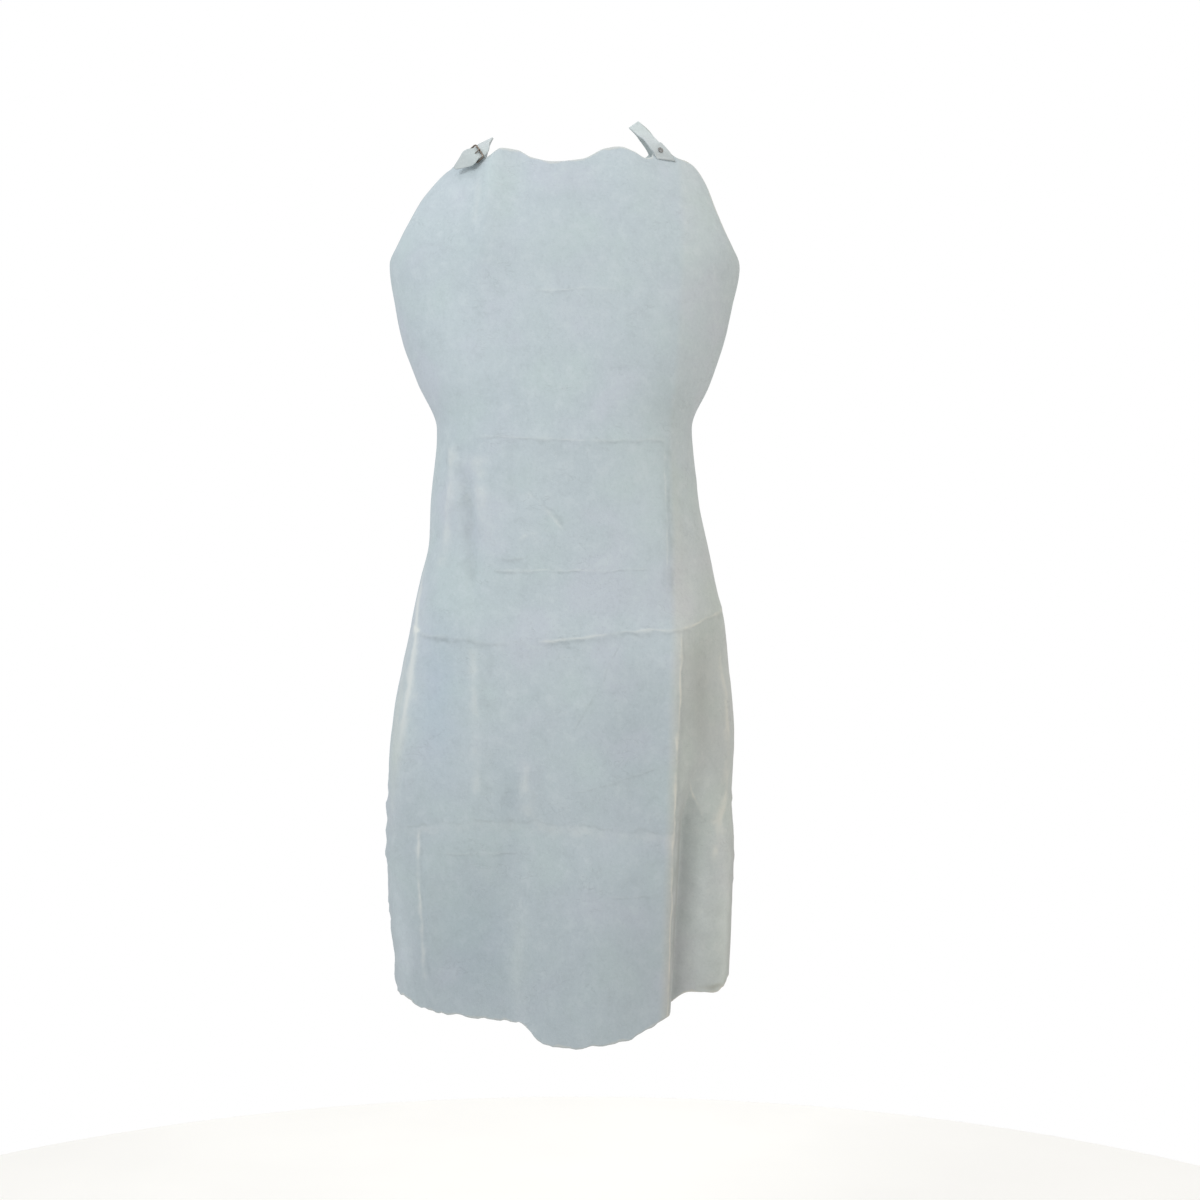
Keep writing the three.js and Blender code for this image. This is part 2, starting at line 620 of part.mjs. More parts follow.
const apron = new THREE.Group();
const add = (name, geometry, material) => {
  const mesh = new THREE.Mesh(geometry, material);
  mesh.name = name;
  apron.add(mesh);
};

add('apron_body', cut(bodyGeometry(), rivetHole(RIVET_SHANK_R + GAP)), suede(0xb9c2c5));
add('neck_strap', cut(strip(strapStations(strapPoints, 5), STRAP_W, STRAP_T), prongSlot(), rivetHole(RIVET_SHANK_R + GAP)), suede(0xb7bfc3));
add('buckle_tab', tabGeometry(), suede(0xb3bbbf));
add('neck_buckle', frameGeometry(), steel(0x3a3029));
add('buckle_prong', prongGeometry(), steel(0x3a3029));
add('neck_rivet', rivetGeometry(), steel(0x8d9094));
add('waist_strap', strip(waistStations(), STRAP_W, STRAP_T), suede(0xb7bfc3));

export default apron;
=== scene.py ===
# Leather work apron, worn form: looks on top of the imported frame.
# The tables below repeat the part's own sizes in millimetres (drop = distance below the origin).
import bpy
import math
import numpy as np
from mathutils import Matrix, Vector


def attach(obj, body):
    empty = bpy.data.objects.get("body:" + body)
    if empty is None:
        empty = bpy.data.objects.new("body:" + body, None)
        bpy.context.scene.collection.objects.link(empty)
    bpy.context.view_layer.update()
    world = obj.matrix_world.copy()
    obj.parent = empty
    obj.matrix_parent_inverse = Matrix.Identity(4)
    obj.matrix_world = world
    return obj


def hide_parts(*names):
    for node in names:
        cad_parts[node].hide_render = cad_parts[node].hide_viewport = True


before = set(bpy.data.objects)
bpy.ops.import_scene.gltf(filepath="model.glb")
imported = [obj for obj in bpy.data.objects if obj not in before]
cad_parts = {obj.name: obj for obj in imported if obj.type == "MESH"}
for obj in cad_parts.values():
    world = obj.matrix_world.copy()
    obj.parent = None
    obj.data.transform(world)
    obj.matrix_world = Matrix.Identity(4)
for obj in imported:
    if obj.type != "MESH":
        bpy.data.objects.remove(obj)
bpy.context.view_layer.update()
MM = 0.001

# ---- sizes and tables ---------------------------------------------------------------------

HIDE = 1.8
GAP = 0.3
MID_Y = -72.0
HALF_CUT = 300.0
STRAP_W, STRAP_T = 20.0, 2.0
TAB_W, TAB_T = 14.0, 1.0
WIRE_R, FRAME_HALF_W, FRAME_DEPTH = 1.0, 8.7, 11.0
PRONG_R = 0.7
RIVET_SHANK_R, RIVET_HEAD_R, RIVET_BORE_R = 1.7, 3.4, 0.9
WAIST_DROP, WAIST_LAP_FROM = 310.0, 262.0

# drop, left, right, front, side, back, squareL, squareR
SECTIONS = np.array([
    (-17, 150, 150, -60, 22, 48, 2.0, 2.0),
    (3, 160, 160, -68, 20, 55, 2.0, 2.0),
    (58, 183, 183, -89, 14, 71, 2.1, 2.1),
    (122, 199, 199, -104, 8, 82, 2.2, 2.2),
    (168, 193, 190.5, -109, 6, 86, 2.25, 2.25),
    (210, 184, 180.5, -112, 5, 87, 2.3, 2.3),
    (258, 166.5, 164.5, -115, 4, 86, 2.35, 2.35),
    (310, 144.5, 143.5, -118, 3, 83, 2.4, 2.4),
    (390, 151, 151, -119, 2, 84, 2.5, 2.5),
    (435, 152, 160, -119.5, 2, 85, 2.55, 2.6),
    (481, 162, 169.5, -120, 2, 86, 2.6, 2.7),
    (550, 177, 184, -122, 2, 90, 2.75, 2.9),
    (675, 196.5, 192, -120, 3, 92, 2.75, 3.0),
    (789, 202, 186, -119, 6, 89, 2.6, 2.9),
    (903, 194, 182, -127, 10, 85, 2.3, 2.7),
    (998, 188, 178, -136, 14, 81, 2.15, 2.5),
], float)

# name, from, fromX, to, toX, push, halfL, halfR, keen, runin, runout
FOLDS = [
    ("neck_left", -12, -76, 118, -88, 8, 12, 22, 0.3, 5, 150),
    ("neck_hollow", -12, -44, 70, -52, -4, 20, 26, 0.0, 5, 90),
    ("neck_right", -12, 66, 88, 80, 4, 30, 26, 0.1, 5, 110),
    ("waist_ridge_left", 345, -119, 440, -117, 4, 9, 8, 0.4, 70, 90),
    ("waist_valley_left", 360, -104, 500, -98, -5, 9, 11, 0.3, 100, 110),
    ("waist_crease_right", 330, 106, 500, 108, 1.3, 20, 7, 0.7, 60, 90),
    ("side_left", 552, -158, 740, -176, 4, 22, 13, 0.8, 40, 110),
    ("pleat_right", 548, 125, 998, 106, 11, 60, 13, 0.9, 60, 0),
    ("side_hollow_right", 548, 162, 740, 166, -9, 20, 20, 0.0, 70, 120),
    ("pleat_valley", 716, 146, 998, 128, -30, 14, 19, 0.3, 90, 0),
    ("right_roll", 748, 174, 998, 160, 10, 18, 18, 0.2, 90, 0),
    ("front_roll", 800, 36, 998, 34, 9, 56, 70, 0.2, 170, 0),
    ("left_valley", 800, -70, 998, -62, -15, 62, 26, 0.2, 130, 0),
    ("left_crease", 794, -150, 930, -143, 3.5, 12, 10, 0.9, 20, 70),
]

# drop, left, right
ARMHOLES = np.array([
    (15, 133, 156), (21, 133, 163), (28, 143, 169), (42, 160, 177.5), (58, 177, 183.5), (88, 197, 197),
    (108, 213, 212), (128, 248, 246), (178, 272, 272), (238, 290, 290), (288, 300, 300),
], float)
# across, drop
NECKLINE = np.array([
    (-133, 21), (-118, 14), (-106, 7), (-95, 10), (-87, 14), (-70, 3.5), (-52, 5.5), (-36, 14.5), (-10, 20.5),
    (20, 17.5), (46, 4.5), (62, 2), (78, 7), (92, 13.5), (99, 12), (109, -5), (122, 3), (134, 9), (146, 11), (156, 15),
], float)
HEM = np.array([
    (-300, 946), (-262, 945), (-215, 945), (-160, 953), (-110, 957), (-70, 958.5), (-42, 963), (-30, 975), (-12, 983),
    (25, 982), (62, 977.5), (92, 965), (110, 955), (160, 947), (185, 933), (210, 935), (250, 929), (300, 925),
], float)

# x, y, drop, faceX, faceY, faceZ, share of the width
STRAP_RUN = [
    (-90.5, -38, -5.5, -0.45, -0.6, 0.66, 0.8),
    (-89.5, -12, -16, -0.42, -0.17, 0.89, 0.92),
    (-96, 14, -13, -0.42, 0.4, 0.81, 1),
    (-99, 36, -3, -0.5, 0.65, 0.57, 1),
    (-80, 59, 4, -0.6, 0.76, 0.25, 1),
    (-43, 70, 3, -0.3, 0.945, 0.12, 1),
    (0, 73, 0, 0, 0.99, 0.1, 1),
    (43, 70, 3, 0.3, 0.945, 0.12, 1),
    (82, 59, 3, 0.6, 0.76, 0.25, 1),
    (105, 38, -8, 0.5, 0.68, 0.54, 1),
    (91, 14, -28.5, -0.1, 0.42, 0.88, 0.82),
    (78.5, -9, -35.2, -0.55, -0.2, 0.8, 0.66),
    (90, -25, -20.5, 0.16, -0.72, 0.68, 0.82),
]
# along, off, share of the width, degrees turned to the front
STRAP_AT_BUCKLE = [
    (-23, 8.0, 0.1, 14), (-21.8, 7.8, 0.25, 14), (-19, 7.5, 0.36, 14), (-15, 7.2, 0.53, 13),
    (-11, 7.0, 0.71, 12), (-7.5, 7.1, 0.88, 9), (-4, 7.4, 1, 5),
    (0, 7.6, 0.97, 0), (3, 7.2, 0.85, 0), (5, 6.5, 0.73, 0), (6.5, 5.8, 0.72, 0), (8.5, 4.9, 0.72, 0),
    (11, 4.1, 0.72, 0), (14, 3.8, 0.73, 0),
]
# along, share of the width, slant
STRAP_AT_RIVET = [(-10, 0.90, 0), (0, 1, 0), (5, 1, 2.5), (12.7, 1, 6.9)]
END_LEAN = 0.69      # slant of the cut end, along per across

# Pressed-in creases of the hide, on the flat: which way the line runs, its points (across, drop), how far it
# stands out (or in, below 0), how wide it is before and after the line, how sharp, and its fade at the ends.
CREASES = [
    ("crease_upper", "across", [(-110, 326), (-47, 328), (-3, 330), (40, 332), (85, 330), (120, 328)], 1.1, 16, 9, 1.0, 22),
    ("hip_left", "across", [(-190, 540), (-133, 544), (-96, 548), (-40, 550)], 1.1, 18, 9, 0.7, 26),
    ("hip_right", "across", [(-60, 550), (-3, 548), (40, 542), (83, 538), (131, 536), (165, 524), (225, 512)], 1.7, 18, 9, 1.0, 14),
    ("crease_faint", "across", [(-84, 472), (-25, 472), (29, 472), (98, 470)], 0.5, 14, 8, 1.0, 20),
    ("band_low", "across", [(-196, 758), (-125, 752), (-58, 748), (-3, 752), (62, 758), (124, 762)], -1.3, 22, 14, 0.6, 26),
    ("crease_chest", "across", [(-44, 168), (13, 166), (66, 166)], 0.35, 12, 10, 0.8, 18),
    ("crease_left", "down", [(-97, 552), (-97, 613), (-95, 677), (-94, 732)], 0.9, 10, 10, 0.2, 26),
    ("valley_low", "down", [(-60, 680), (-57, 720), (-56, 775)], -1.1, 13, 10, 0.2, 24),
    ("ridge_low", "down", [(-40, 668), (-41, 710), (-43, 750)], 1.2, 9, 12, 0.3, 24),
    ("dent_waist_a", "down", [(-150, 320), (-147, 366)], -2.0, 7, 7, 0.2, 10),
    ("dent_waist_b", "down", [(-125, 328), (-123, 352)], -2.4, 6, 6, 0.2, 8),
    ("ridge_waist_left", "down", [(-135, 322), (-134, 385), (-139, 432), (-150, 470)], 2.2, 9, 6, 0.3, 24),
    ("valley_waist_left", "down", [(-122, 344), (-111, 395), (-105, 461), (-101, 486)], -2.6, 9, 8, 0.2, 34),
    ("ridge_waist_two", "down", [(-96, 352), (-90, 400), (-84, 448)], 1.4, 10, 12, 0.2, 36),
    ("valley_waist_two", "down", [(-60, 330), (-56, 384), (-48, 420)], -1.3, 8, 10, 0.2, 26),
    ("wrinkle_a", "down", [(-36, 388), (7, 452)], 0.6, 10, 7, 0.6, 18),
    ("wrinkle_b", "down", [(61, 548), (8, 652)], 0.7, 7, 6, 0.8, 20),
    ("wrinkle_c", "across", [(4, 716), (129, 672)], 0.7, 9, 6, 0.8, 16),
    ("branch_right", "down", [(142, 696), (173, 724), (193, 748)], 1.6, 6, 9, 0.7, 14),
]


# ---- helpers ------------------------------------------------------------------------------

def hermite(xs, ys, x):
    xs, ys = np.asarray(xs, float), np.asarray(ys, float)
    x = np.clip(np.asarray(x, float), xs[0], xs[-1])
    d = np.diff(ys) / np.diff(xs)
    m = np.empty_like(ys)
    m[0], m[-1] = d[0], d[-1]
    for i in range(1, len(ys) - 1):
        m[i] = 0 if d[i - 1] * d[i] <= 0 else 2 * d[i - 1] * d[i] / (d[i - 1] + d[i])
    i = np.clip(np.searchsorted(xs, x, side="right") - 1, 0, len(xs) - 2)
    h = xs[i + 1] - xs[i]
    t = (x - xs[i]) / h
    return ((1 + 2 * t) * (1 - t) ** 2 * ys[i] + t * (1 - t) ** 2 * h * m[i]
            + t * t * (3 - 2 * t) * ys[i + 1] + t * t * (t - 1) * h * m[i + 1])


def smooth(a, b, x):
    t = np.clip((x - a) / (b - a), 0, 1)
    return t * t * (3 - 2 * t)


def unit(v):
    v = np.asarray(v, float)
    return v / np.maximum(np.linalg.norm(v, axis=-1, keepdims=True), 1e-12)


GRIDS = {}


def noise(u, v, cell, seed):
    """Smooth seeded noise from -1 to 1 on the plane, one value per cell corner."""
    if seed not in GRIDS:
        GRIDS[seed] = np.random.RandomState(seed).uniform(-1, 1, (256, 256))
    grid = GRIDS[seed]
    fu, fv = u / cell + 91.7, v / cell + 47.3
    iu, iv = np.floor(fu).astype(int), np.floor(fv).astype(int)
    tu, tv = fu - iu, fv - iv
    tu, tv = tu * tu * tu * (tu * (tu * 6 - 15) + 10), tv * tv * tv * (tv * (tv * 6 - 15) + 10)
    g = lambda a, b: grid[(iu + a) % 256, (iv + b) % 256]
    return (g(0, 0) * (1 - tu) + g(1, 0) * tu) * (1 - tv) + (g(0, 1) * (1 - tu) + g(1, 1) * tu) * tv


# ---- the worn surface ---------------------------------------------------------------------

def fold_push(x, drop):
    out = np.zeros(np.broadcast(x, drop).shape)
    for (_, d0, x0, d1, x1, push, wl, wr, keen, fin, fout) in FOLDS:
        u = x - (x0 + (x1 - x0) * (drop - d0) / (d1 - d0))
        r = np.abs(u) / np.where(u < 0, wl, wr)
        soft, sharp = np.exp(-r * r), np.exp(0.13 - 1.3 * np.sqrt(r * r + 0.01))
        gate = smooth(d0 - 0.5 * fin, d0 + 0.5 * fin, drop)
        if fout > 0:
            gate = gate * (1 - smooth(d1 - 0.5 * fout, d1 + 0.5 * fout, drop))
        out = out + push * gate * ((1 - keen) * soft + keen * sharp)
    return out


def section_curve(drop, steps=420):
    _, left, right, front, side, back, sql, sqr = [float(hermite(SECTIONS[:, 0], SECTIONS[:, k], drop)) for k in range(8)]
    a = np.linspace(-0.97 * np.pi, 0.97 * np.pi, 2 * steps + 1)
    n = np.where(a < 0, sql, sqr)   # the square numbers of both sides
    sx = np.sign(np.sin(a)) * np.abs(np.sin(a)) ** (2 / n)
    cy = np.abs(np.cos(a)) ** (2 / n)
    x = np.where(a < 0, left, right) * sx
    ahead = np.abs(a) <= np.pi / 2
    y = np.where(ahead, side - (side - front) * cy, side + back * cy)
    tx, ty = np.gradient(x), np.gradient(y)
    ln = np.hypot(tx, ty) + 1e-9
    push = np.where(ahead, fold_push(x, drop), 0)
    over = x
    x, y = x + ty / ln * push, y - tx / ln * push
    s = np.concatenate([[0], np.cumsum(np.hypot(np.diff(x), np.diff(y)))])
    return x, y, s - s[steps], over


def flat_at(drop, over_x):
    """Flat place of the point of the front half that stood at over_x before it was folded."""
    _, _, s, over = section_curve(drop)
    k = len(over) // 4
    return float(np.interp(over_x, over[k:-k], s[k:-k]))


LEVELS = np.arange(-20.0, 1001.0, 2.0)
PLACES = np.arange(-306.0, 306.5, 1.5)
LEVEL_X = np.empty((len(LEVELS), len(PLACES)))
LEVEL_Y = np.empty_like(LEVEL_X)
for k, q in enumerate(LEVELS):
    sx_, sy_, ss_, _over = section_curve(q)
    LEVEL_X[k], LEVEL_Y[k] = np.interp(PLACES, ss_, sx_), np.interp(PLACES, ss_, sy_)


def hide(across, drop):
    """Middle of the hide at a flat place, mm in the row frame."""
    across, drop = np.broadcast_arrays(np.asarray(across, float), np.asarray(drop, float))
    fi = (drop - LEVELS[0]) / (LEVELS[1] - LEVELS[0])
    i = np.clip(np.floor(fi).astype(int), 0, len(LEVELS) - 2)
    fj = (across - PLACES[0]) / (PLACES[1] - PLACES[0])
    j = np.clip(np.floor(fj).astype(int), 0, len(PLACES) - 2)
    a, b = fi - i, fj - j
    look = lambda t: (t[i, j] * (1 - b) + t[i, j + 1] * b) * (1 - a) + (t[i + 1, j] * (1 - b) + t[i + 1, j + 1] * b) * a
    return np.stack([look(LEVEL_X), look(LEVEL_Y) + MID_Y, -drop], -1)


def hide_normal(across, drop, d=4.0):
    u = hide(across + d, drop) - hide(across - d, drop)
    v = hide(across, drop + d) - hide(across, drop - d)
    return unit(np.cross(v, u))


def crease_height(p, q):
    out = np.zeros(p.shape)
    for (_, way, pts, push, before, after, keen, fade) in CREASES:
        pts = np.array(pts, float)
        a, c = (p, q) if way == "across" else (q, p)
        k = 0 if way == "across" else 1
        xs, ys = pts[:, k], pts[:, 1 - k]
        if xs[0] > xs[-1]:
            xs, ys = xs[::-1], ys[::-1]
        wander = 1.6 * noise(a, np.zeros_like(a), 26.0, 5 + int(abs(push) * 10))
        u = c - hermite(xs, ys, a) - wander
        r = np.abs(u) / np.where(u < 0, before, after)
        gate = smooth(xs[0], xs[0] + fade, a) * (1 - smooth(xs[-1] - fade, xs[-1], a))
        gate = gate * (0.8 + 0.35 * noise(a, a * 0, 38.0, 11))
        out += push * gate * ((1 - keen) * np.exp(-r * r) + keen * np.exp(0.1 - 1.2 * np.sqrt(r * r + 0.007)))
    return out


# ---- meshes ---------------------------------------------------------------------------------

def new_piece(name, verts, faces, material, smooth_faces=True):
    me = bpy.data.meshes.new(name)
    me.from_pydata(np.asarray(verts).tolist(), [], [tuple(int(i) for i in f) for f in faces])
    me.polygons.foreach_set("use_smooth", [smooth_faces] * len(me.polygons))
    me.materials.append(material)
    me.update()
    ob = bpy.data.objects.new(name, me)
    bpy.context.scene.collection.objects.link(ob)
    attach(ob, "root")
    return ob


def recalc(ob):
    import bmesh
    bm = bmesh.new()
    bm.from_mesh(ob.data)
    bmesh.ops.recalc_face_normals(bm, faces=bm.faces)
    bm.to_mesh(ob.data)
    bm.free()


def skin_faces(n, m, loop):
    faces = []
    for i in range(n if loop else n - 1):
        a, b = i * m, ((i + 1) % n) * m
        for j in range(m):
            k = (j + 1) % m
            faces.append((a + j, b + j, b + k, a + k))
    if not loop:
        faces.append(tuple(range(m))[::-1])
        faces.append(tuple((n - 1) * m + j for j in range(m)))
    return faces


COLUMNS, ROWS = 168, 246


def build_body(material):
    side = np.concatenate([[-1, -1 + 0.006], np.linspace(-1, 1, COLUMNS + 1)[1:-1], [1 - 0.006, 1]])
    t = np.concatenate([[0, 0.0016], (np.linspace(0, 1, ROWS + 1)[1:-1]) ** 1.06, [1 - 0.0014, 1]])
    S, T = np.meshgrid(side, t)
    neck_reach = np.where(S < 0, -NECKLINE[0, 0], NECKLINE[-1, 0])
    top = hermite(NECKLINE[:, 0], NECKLINE[:, 1], S * neck_reach)
    foot = hermite(HEM[:, 0], HEM[:, 1], S * HALF_CUT)
    foot = foot + 1.5 * noise(S * HALF_CUT, S * 0, 14.0, 3) + 1.1 * noise(S * HALF_CUT, S * 0, 6.0, 4)
    q = top + (foot - top) * T
    half = []
    for k, c in ((0, 1), (-1, 2)):
        edge = NECKLINE[k, 1] + (HEM[k, 1] - NECKLINE[k, 1]) * T
        w = hermite(ARMHOLES[:, 0], ARMHOLES[:, c], edge)
        rag = smooth(560, 760, edge)
        w = w + rag * (1.1 * noise(edge, edge * 0, 9.0, 21 + c) + 1.3 * noise(edge, edge * 0, 24.0, 31 + c))
        w = w + (1 - rag) * 0.5 * noise(edge, edge * 0, 22.0, 41 + c)
        half.append(w)
    p = S * np.where(S < 0, half[0], half[1])
    P = hide(p, q)
    N = np.cross(np.gradient(P, axis=0), np.gradient(P, axis=1))
    N = unit(N)
    # slow swell of the hide, more of it below the waist, and pressed-in creases
    swell = 0.9 * noise(p, q, 74.0, 51) + 0.45 * noise(p + 0.25 * q, q, 31.0, 52) + 0.16 * noise(p, q, 12.0, 53)
    swell = swell * (0.55 + 0.45 * smooth(260, 420, q))
    near = smooth(0, 26, q - top)                       # calm under the strap ends
    turn = smooth(660, 740, q) * smooth(176, 200, np.abs(p)) * (1 - smooth(252, 274, np.abs(p)))
    swell = swell + turn * (1.3 * noise(0.3 * p, q, 13.0, 54) + 0.8 * noise(0.4 * p, q, 6.5, 55))   # stretched foot
    height = near * (swell + crease_height(p, q))
    P = P + N * height[..., None]
    N = unit(np.cross(np.gradient(P, axis=0), np.gradient(P, axis=1)))
    nr, nc = S.shape
    idx = np.arange(nr * nc).reshape(nr, nc)
    front, back = (P + N * HIDE / 2).reshape(-1, 3), (P - N * HIDE / 2).reshape(-1, 3)
    ring = np.concatenate([idx[0, :], idx[1:, -1], idx[-1, -2::-1], idx[-2:0:-1, 0]])
    # the cut edge bulges a little
    flatP = P.reshape(-1, 3)
    inner = np.concatenate([idx[1, :], idx[1:, -2], idx[-2, -2::-1], idx[-2:0:-1, 1]])
    out = unit(flatP[ring] - flatP[inner])
    rim = flatP[ring] + out * 0.45
    verts = np.concatenate([front, back, rim])
    nb, nrim = nr * nc, len(ring)
    a, b, c, d = idx[:-1, :-1].ravel(), idx[1:, :-1].ravel(), idx[1:, 1:].ravel(), idx[:-1, 1:].ravel()
    f1 = np.stack([a, b, c, d], 1)
    f2 = np.stack([d, c, b, a], 1) + nb
    r = np.arange(nrim)
    r2 = (r + 1) % nrim
    f3 = np.stack([ring[r], ring[r2], 2 * nb + r2, 2 * nb + r], 1)
    f4 = np.stack([2 * nb + r, 2 * nb + r2, nb + ring[r2], nb + ring[r]], 1)
    faces = np.concatenate([f1, f2, f3, f4])
    ob = new_piece("apron_hide", verts * MM, faces, material)
    recalc(ob)
    me = ob.data
    # flat place of every point, for wear, tone patches and the painted highlights and shade of the folds: across and
    # drop in metres, and distance from the cut edge
    edge = np.minimum(np.minimum(q - top, foot - q), np.minimum(np.abs(p + half[0]), np.abs(half[1] - p)))
    both = lambda x: np.concatenate([x.ravel(), x.ravel(), x.ravel()[ring]])
    flat = me.attributes.new("flat", "FLOAT_VECTOR", "POINT")
    flat.data.foreach_set("vector", (np.stack([both(p), both(q), both(p * 0)], 1) * MM).ravel())
    e = both(np.clip(edge, 0, 60))
    e[2 * nb:] = 0
    me.attributes.new("edge_mm", "FLOAT", "POINT").data.foreach_set("value", e)
    lift = both(crease_height(p, q))
    me.attributes.new("crest", "FLOAT", "POINT").data.foreach_set("value", lift)
    return ob


# ---- strap, buckle, rivet --------------------------------------------------------------------

HEEL = (-105.0, 14.0)
HEEL_TURN, HEEL_LIFT = 22.0, 0.95
HEEL_PULL = np.array([0.85, 0, 0.53])


def square(v, face):
    return unit(v - face * v.dot(face))


def turned(face, run, degrees):
    a = math.radians(degrees)
    return face * math.cos(a) - unit(np.cross(face, run)) * math.sin(a)


heel_hide = hide_normal(*HEEL, 8.0)
heel_face = turned(heel_hide, square(HEEL_PULL, heel_hide), HEEL_TURN)
heel_run = square(HEEL_PULL, heel_face)
heel_side = unit(np.cross(heel_face, heel_run))
HEEL_H, FRONT_H, FOLD_R = 3.7, 6.4, 2.0

RIVET = (109.5, 4.0)
rivet_face = hide_normal(*RIVET, 8.0)
rivet_at = hide(*RIVET)
_r = np.array([0.63, 0, -0.78])
rivet_run = unit(_r - rivet_face * _r.dot(rivet_face))
rivet_side = unit(np.cross(rivet_face, rivet_run))


def hide_rise(spot, origin, run, face, lo, hi, half_width):
    u, v = np.meshgrid(np.arange(-26, 27, 2.0), np.arange(-26, 27, 2.0))
    rel = hide(spot[0] + u, spot[1] + v) - origin
    s, w, h = rel @ run, np.abs(rel @ np.cross(face, run)), rel @ face
    ok = (s >= lo) & (s <= hi) & (w <= half_width)
    return max(0.0, float(h[ok].max()))


heel_foot = hide(*HEEL)
heel_at = heel_foot + heel_face * (HEEL_LIFT + hide_rise(HEEL, heel_foot, heel_run, heel_face, -14, 3, 9))
STRAP_H = HIDE / 2 + 2 * GAP + STRAP_T / 2 + hide_rise(RIVET, rivet_at, rivet_run, rivet_face, -9, 20, 11)


def at_heel(s, h, w=0.0):
    return heel_at + heel_run * s + heel_face * h + heel_side * w


def at_rivet(s, h, w=0.0):
    return rivet_at + rivet_run * s + rivet_face * h + rivet_side * w


def catmull(points, i, t):
    """Centripetal curve through the points: place and direction at span i, t from 0 to 1."""
    n = len(points)
    p1, p2 = points[i], points[i + 1]
    p0 = points[i - 1] if i > 0 else 2 * points[0] - points[1]
    p3 = points[i + 2] if i + 2 < n else 2 * points[-1] - points[-2]
    d0, d1, d2 = [max(np.sum((b - a) ** 2) ** 0.25, 1e-4) for a, b in ((p0, p1), (p1, p2), (p2, p3))]
    t1 = ((p1 - p0) / d0 - (p2 - p0) / (d0 + d1) + (p2 - p1) / d1) * d1
    t2 = ((p2 - p1) / d1 - (p3 - p1) / (d1 + d2) + (p3 - p2) / d2) * d1
    c2, c3 = -3 * p1 + 3 * p2 - 2 * t1 - t2, 2 * p1 - 2 * p2 + t1 + t2
    return p1 + t1 * t + c2 * t * t + c3 * t ** 3, t1 + 2 * c2 * t + 3 * c3 * t * t


def strap_points():
    pts = [(at_heel(s, h), turned(heel_face, heel_run, turn), share, 0.0) for s, h, share, turn in STRAP_AT_BUCKLE]
    pts += [(np.array([x, MID_Y + y, -d]), unit([a, b, c]), share, 0.0) for x, y, d, a, b, c, share in STRAP_RUN]
    pts += [(at_rivet(s, STRAP_H), rivet_face, share, sl) for s, share, sl in STRAP_AT_RIVET]
    return pts


def strip_section(width, thick, corner=0.7, turn=3):
    """Round-cornered cross section, (across, off) pairs."""
    out = []
    for sx, sy, a0 in ((1, 1, 0), (-1, 1, 90), (-1, -1, 180), (1, -1, 270)):
        for k in range(turn + 1):
            a = math.radians(a0 + 90 * k / turn)
            out.append((sx * (width / 2 - corner) + corner * math.cos(a), sy * (thick / 2 - corner) + corner * math.sin(a)))
    return out


def fine_section(width, thick, corner=0.7, turn=3, flat=8):
    """The same with points along both flats, so that the faces can be worn and waved."""
    base = strip_section(width, thick, corner, turn)
    m = turn + 1
    out = []
    for k in range(4):
        out += base[k * m:(k + 1) * m]
        if k % 2 == 0:
            a, b = base[(k + 1) * m - 1], base[((k + 1) * m) % len(base)]
            out += [(a[0] + (b[0] - a[0]) * f / flat, a[1] + (b[1] - a[1]) * f / flat) for f in range(1, flat)]
    return out


def rivet_ground():
    """Height of the hide's middle under a place near the rivet, in the rivet's own frame."""
    u, v = np.meshgrid(np.arange(-40, 41, 2.0), np.arange(-40, 41, 2.0))
    rel = (hide(RIVET[0] + u, RIVET[1] + v) - rivet_at).reshape(-1, 3)
    s, w, h = rel @ rivet_run, rel @ rivet_side, rel @ rivet_face

    def at(s0, w0):
        near = 1.0 / ((s - s0) ** 2 + (w - w0) ** 2 + 0.6) ** 2
        return float((near * h).sum() / near.sum())
    return at


def end_laid(ground, p, through):
    """Past the rivet the strap's end is skived thin and pressed onto the hide."""
    rel = p - rivet_at
    s = float(rel @ rivet_run)
    past = s - END_LEAN * float(rel @ rivet_side)
    if s < -3.0 or past < 1.0 or s > 30.0 or abs(float(rel @ rivet_face)) > 25.0:
        return p
    near = float(smooth(-3.0, 3.0, s))
    thin = 1.0 - 0.82 * near * float(smooth(2.5, 12.0, past))
    goal = ground(s, float(rel @ rivet_side)) + HIDE / 2 + 0.3 + STRAP_T * thin * (through + 0.5)
    return p + rivet_face * (goal - float(rel @ rivet_face)) * near * float(smooth(1.0, 8.0, past))


def build_strip(name, stations, width, thick, material, seed, corner=0.7, lay=None):
    sec = fine_section(width, thick, corner)
    rings = []
    run_len = 0.0
    for i, (at, face, run, share, slant) in enumerate(stations):
        if i:
            run_len += np.linalg.norm(at - stations[i - 1][0])
        run = unit(run)
        w = unit(np.cross(run, face))
        n = unit(np.cross(w, run))
        if n.dot(face) < 0:
            n = -n
        ws = w * share - run * slant / (width / 2)
        for (u, h) in sec:
            wob = 0.09 * float(noise(np.array(run_len), np.array(0.0), 17.0, seed + (1 if u > 0 else 2))) * (u / (width / 2)) * 2
            curl = 0.12 * float(noise(np.array(run_len), np.array(u), 15.0, seed + 3))
            p = at + ws * (u + wob) + n * (h + curl)
            rings.append(p if lay is None else end_laid(lay, p, h / thick))
    faces = skin_faces(len(stations), len(sec), False)
    ob = new_piece(name, np.array(rings) * MM, faces, material)
    recalc(ob)
    return ob


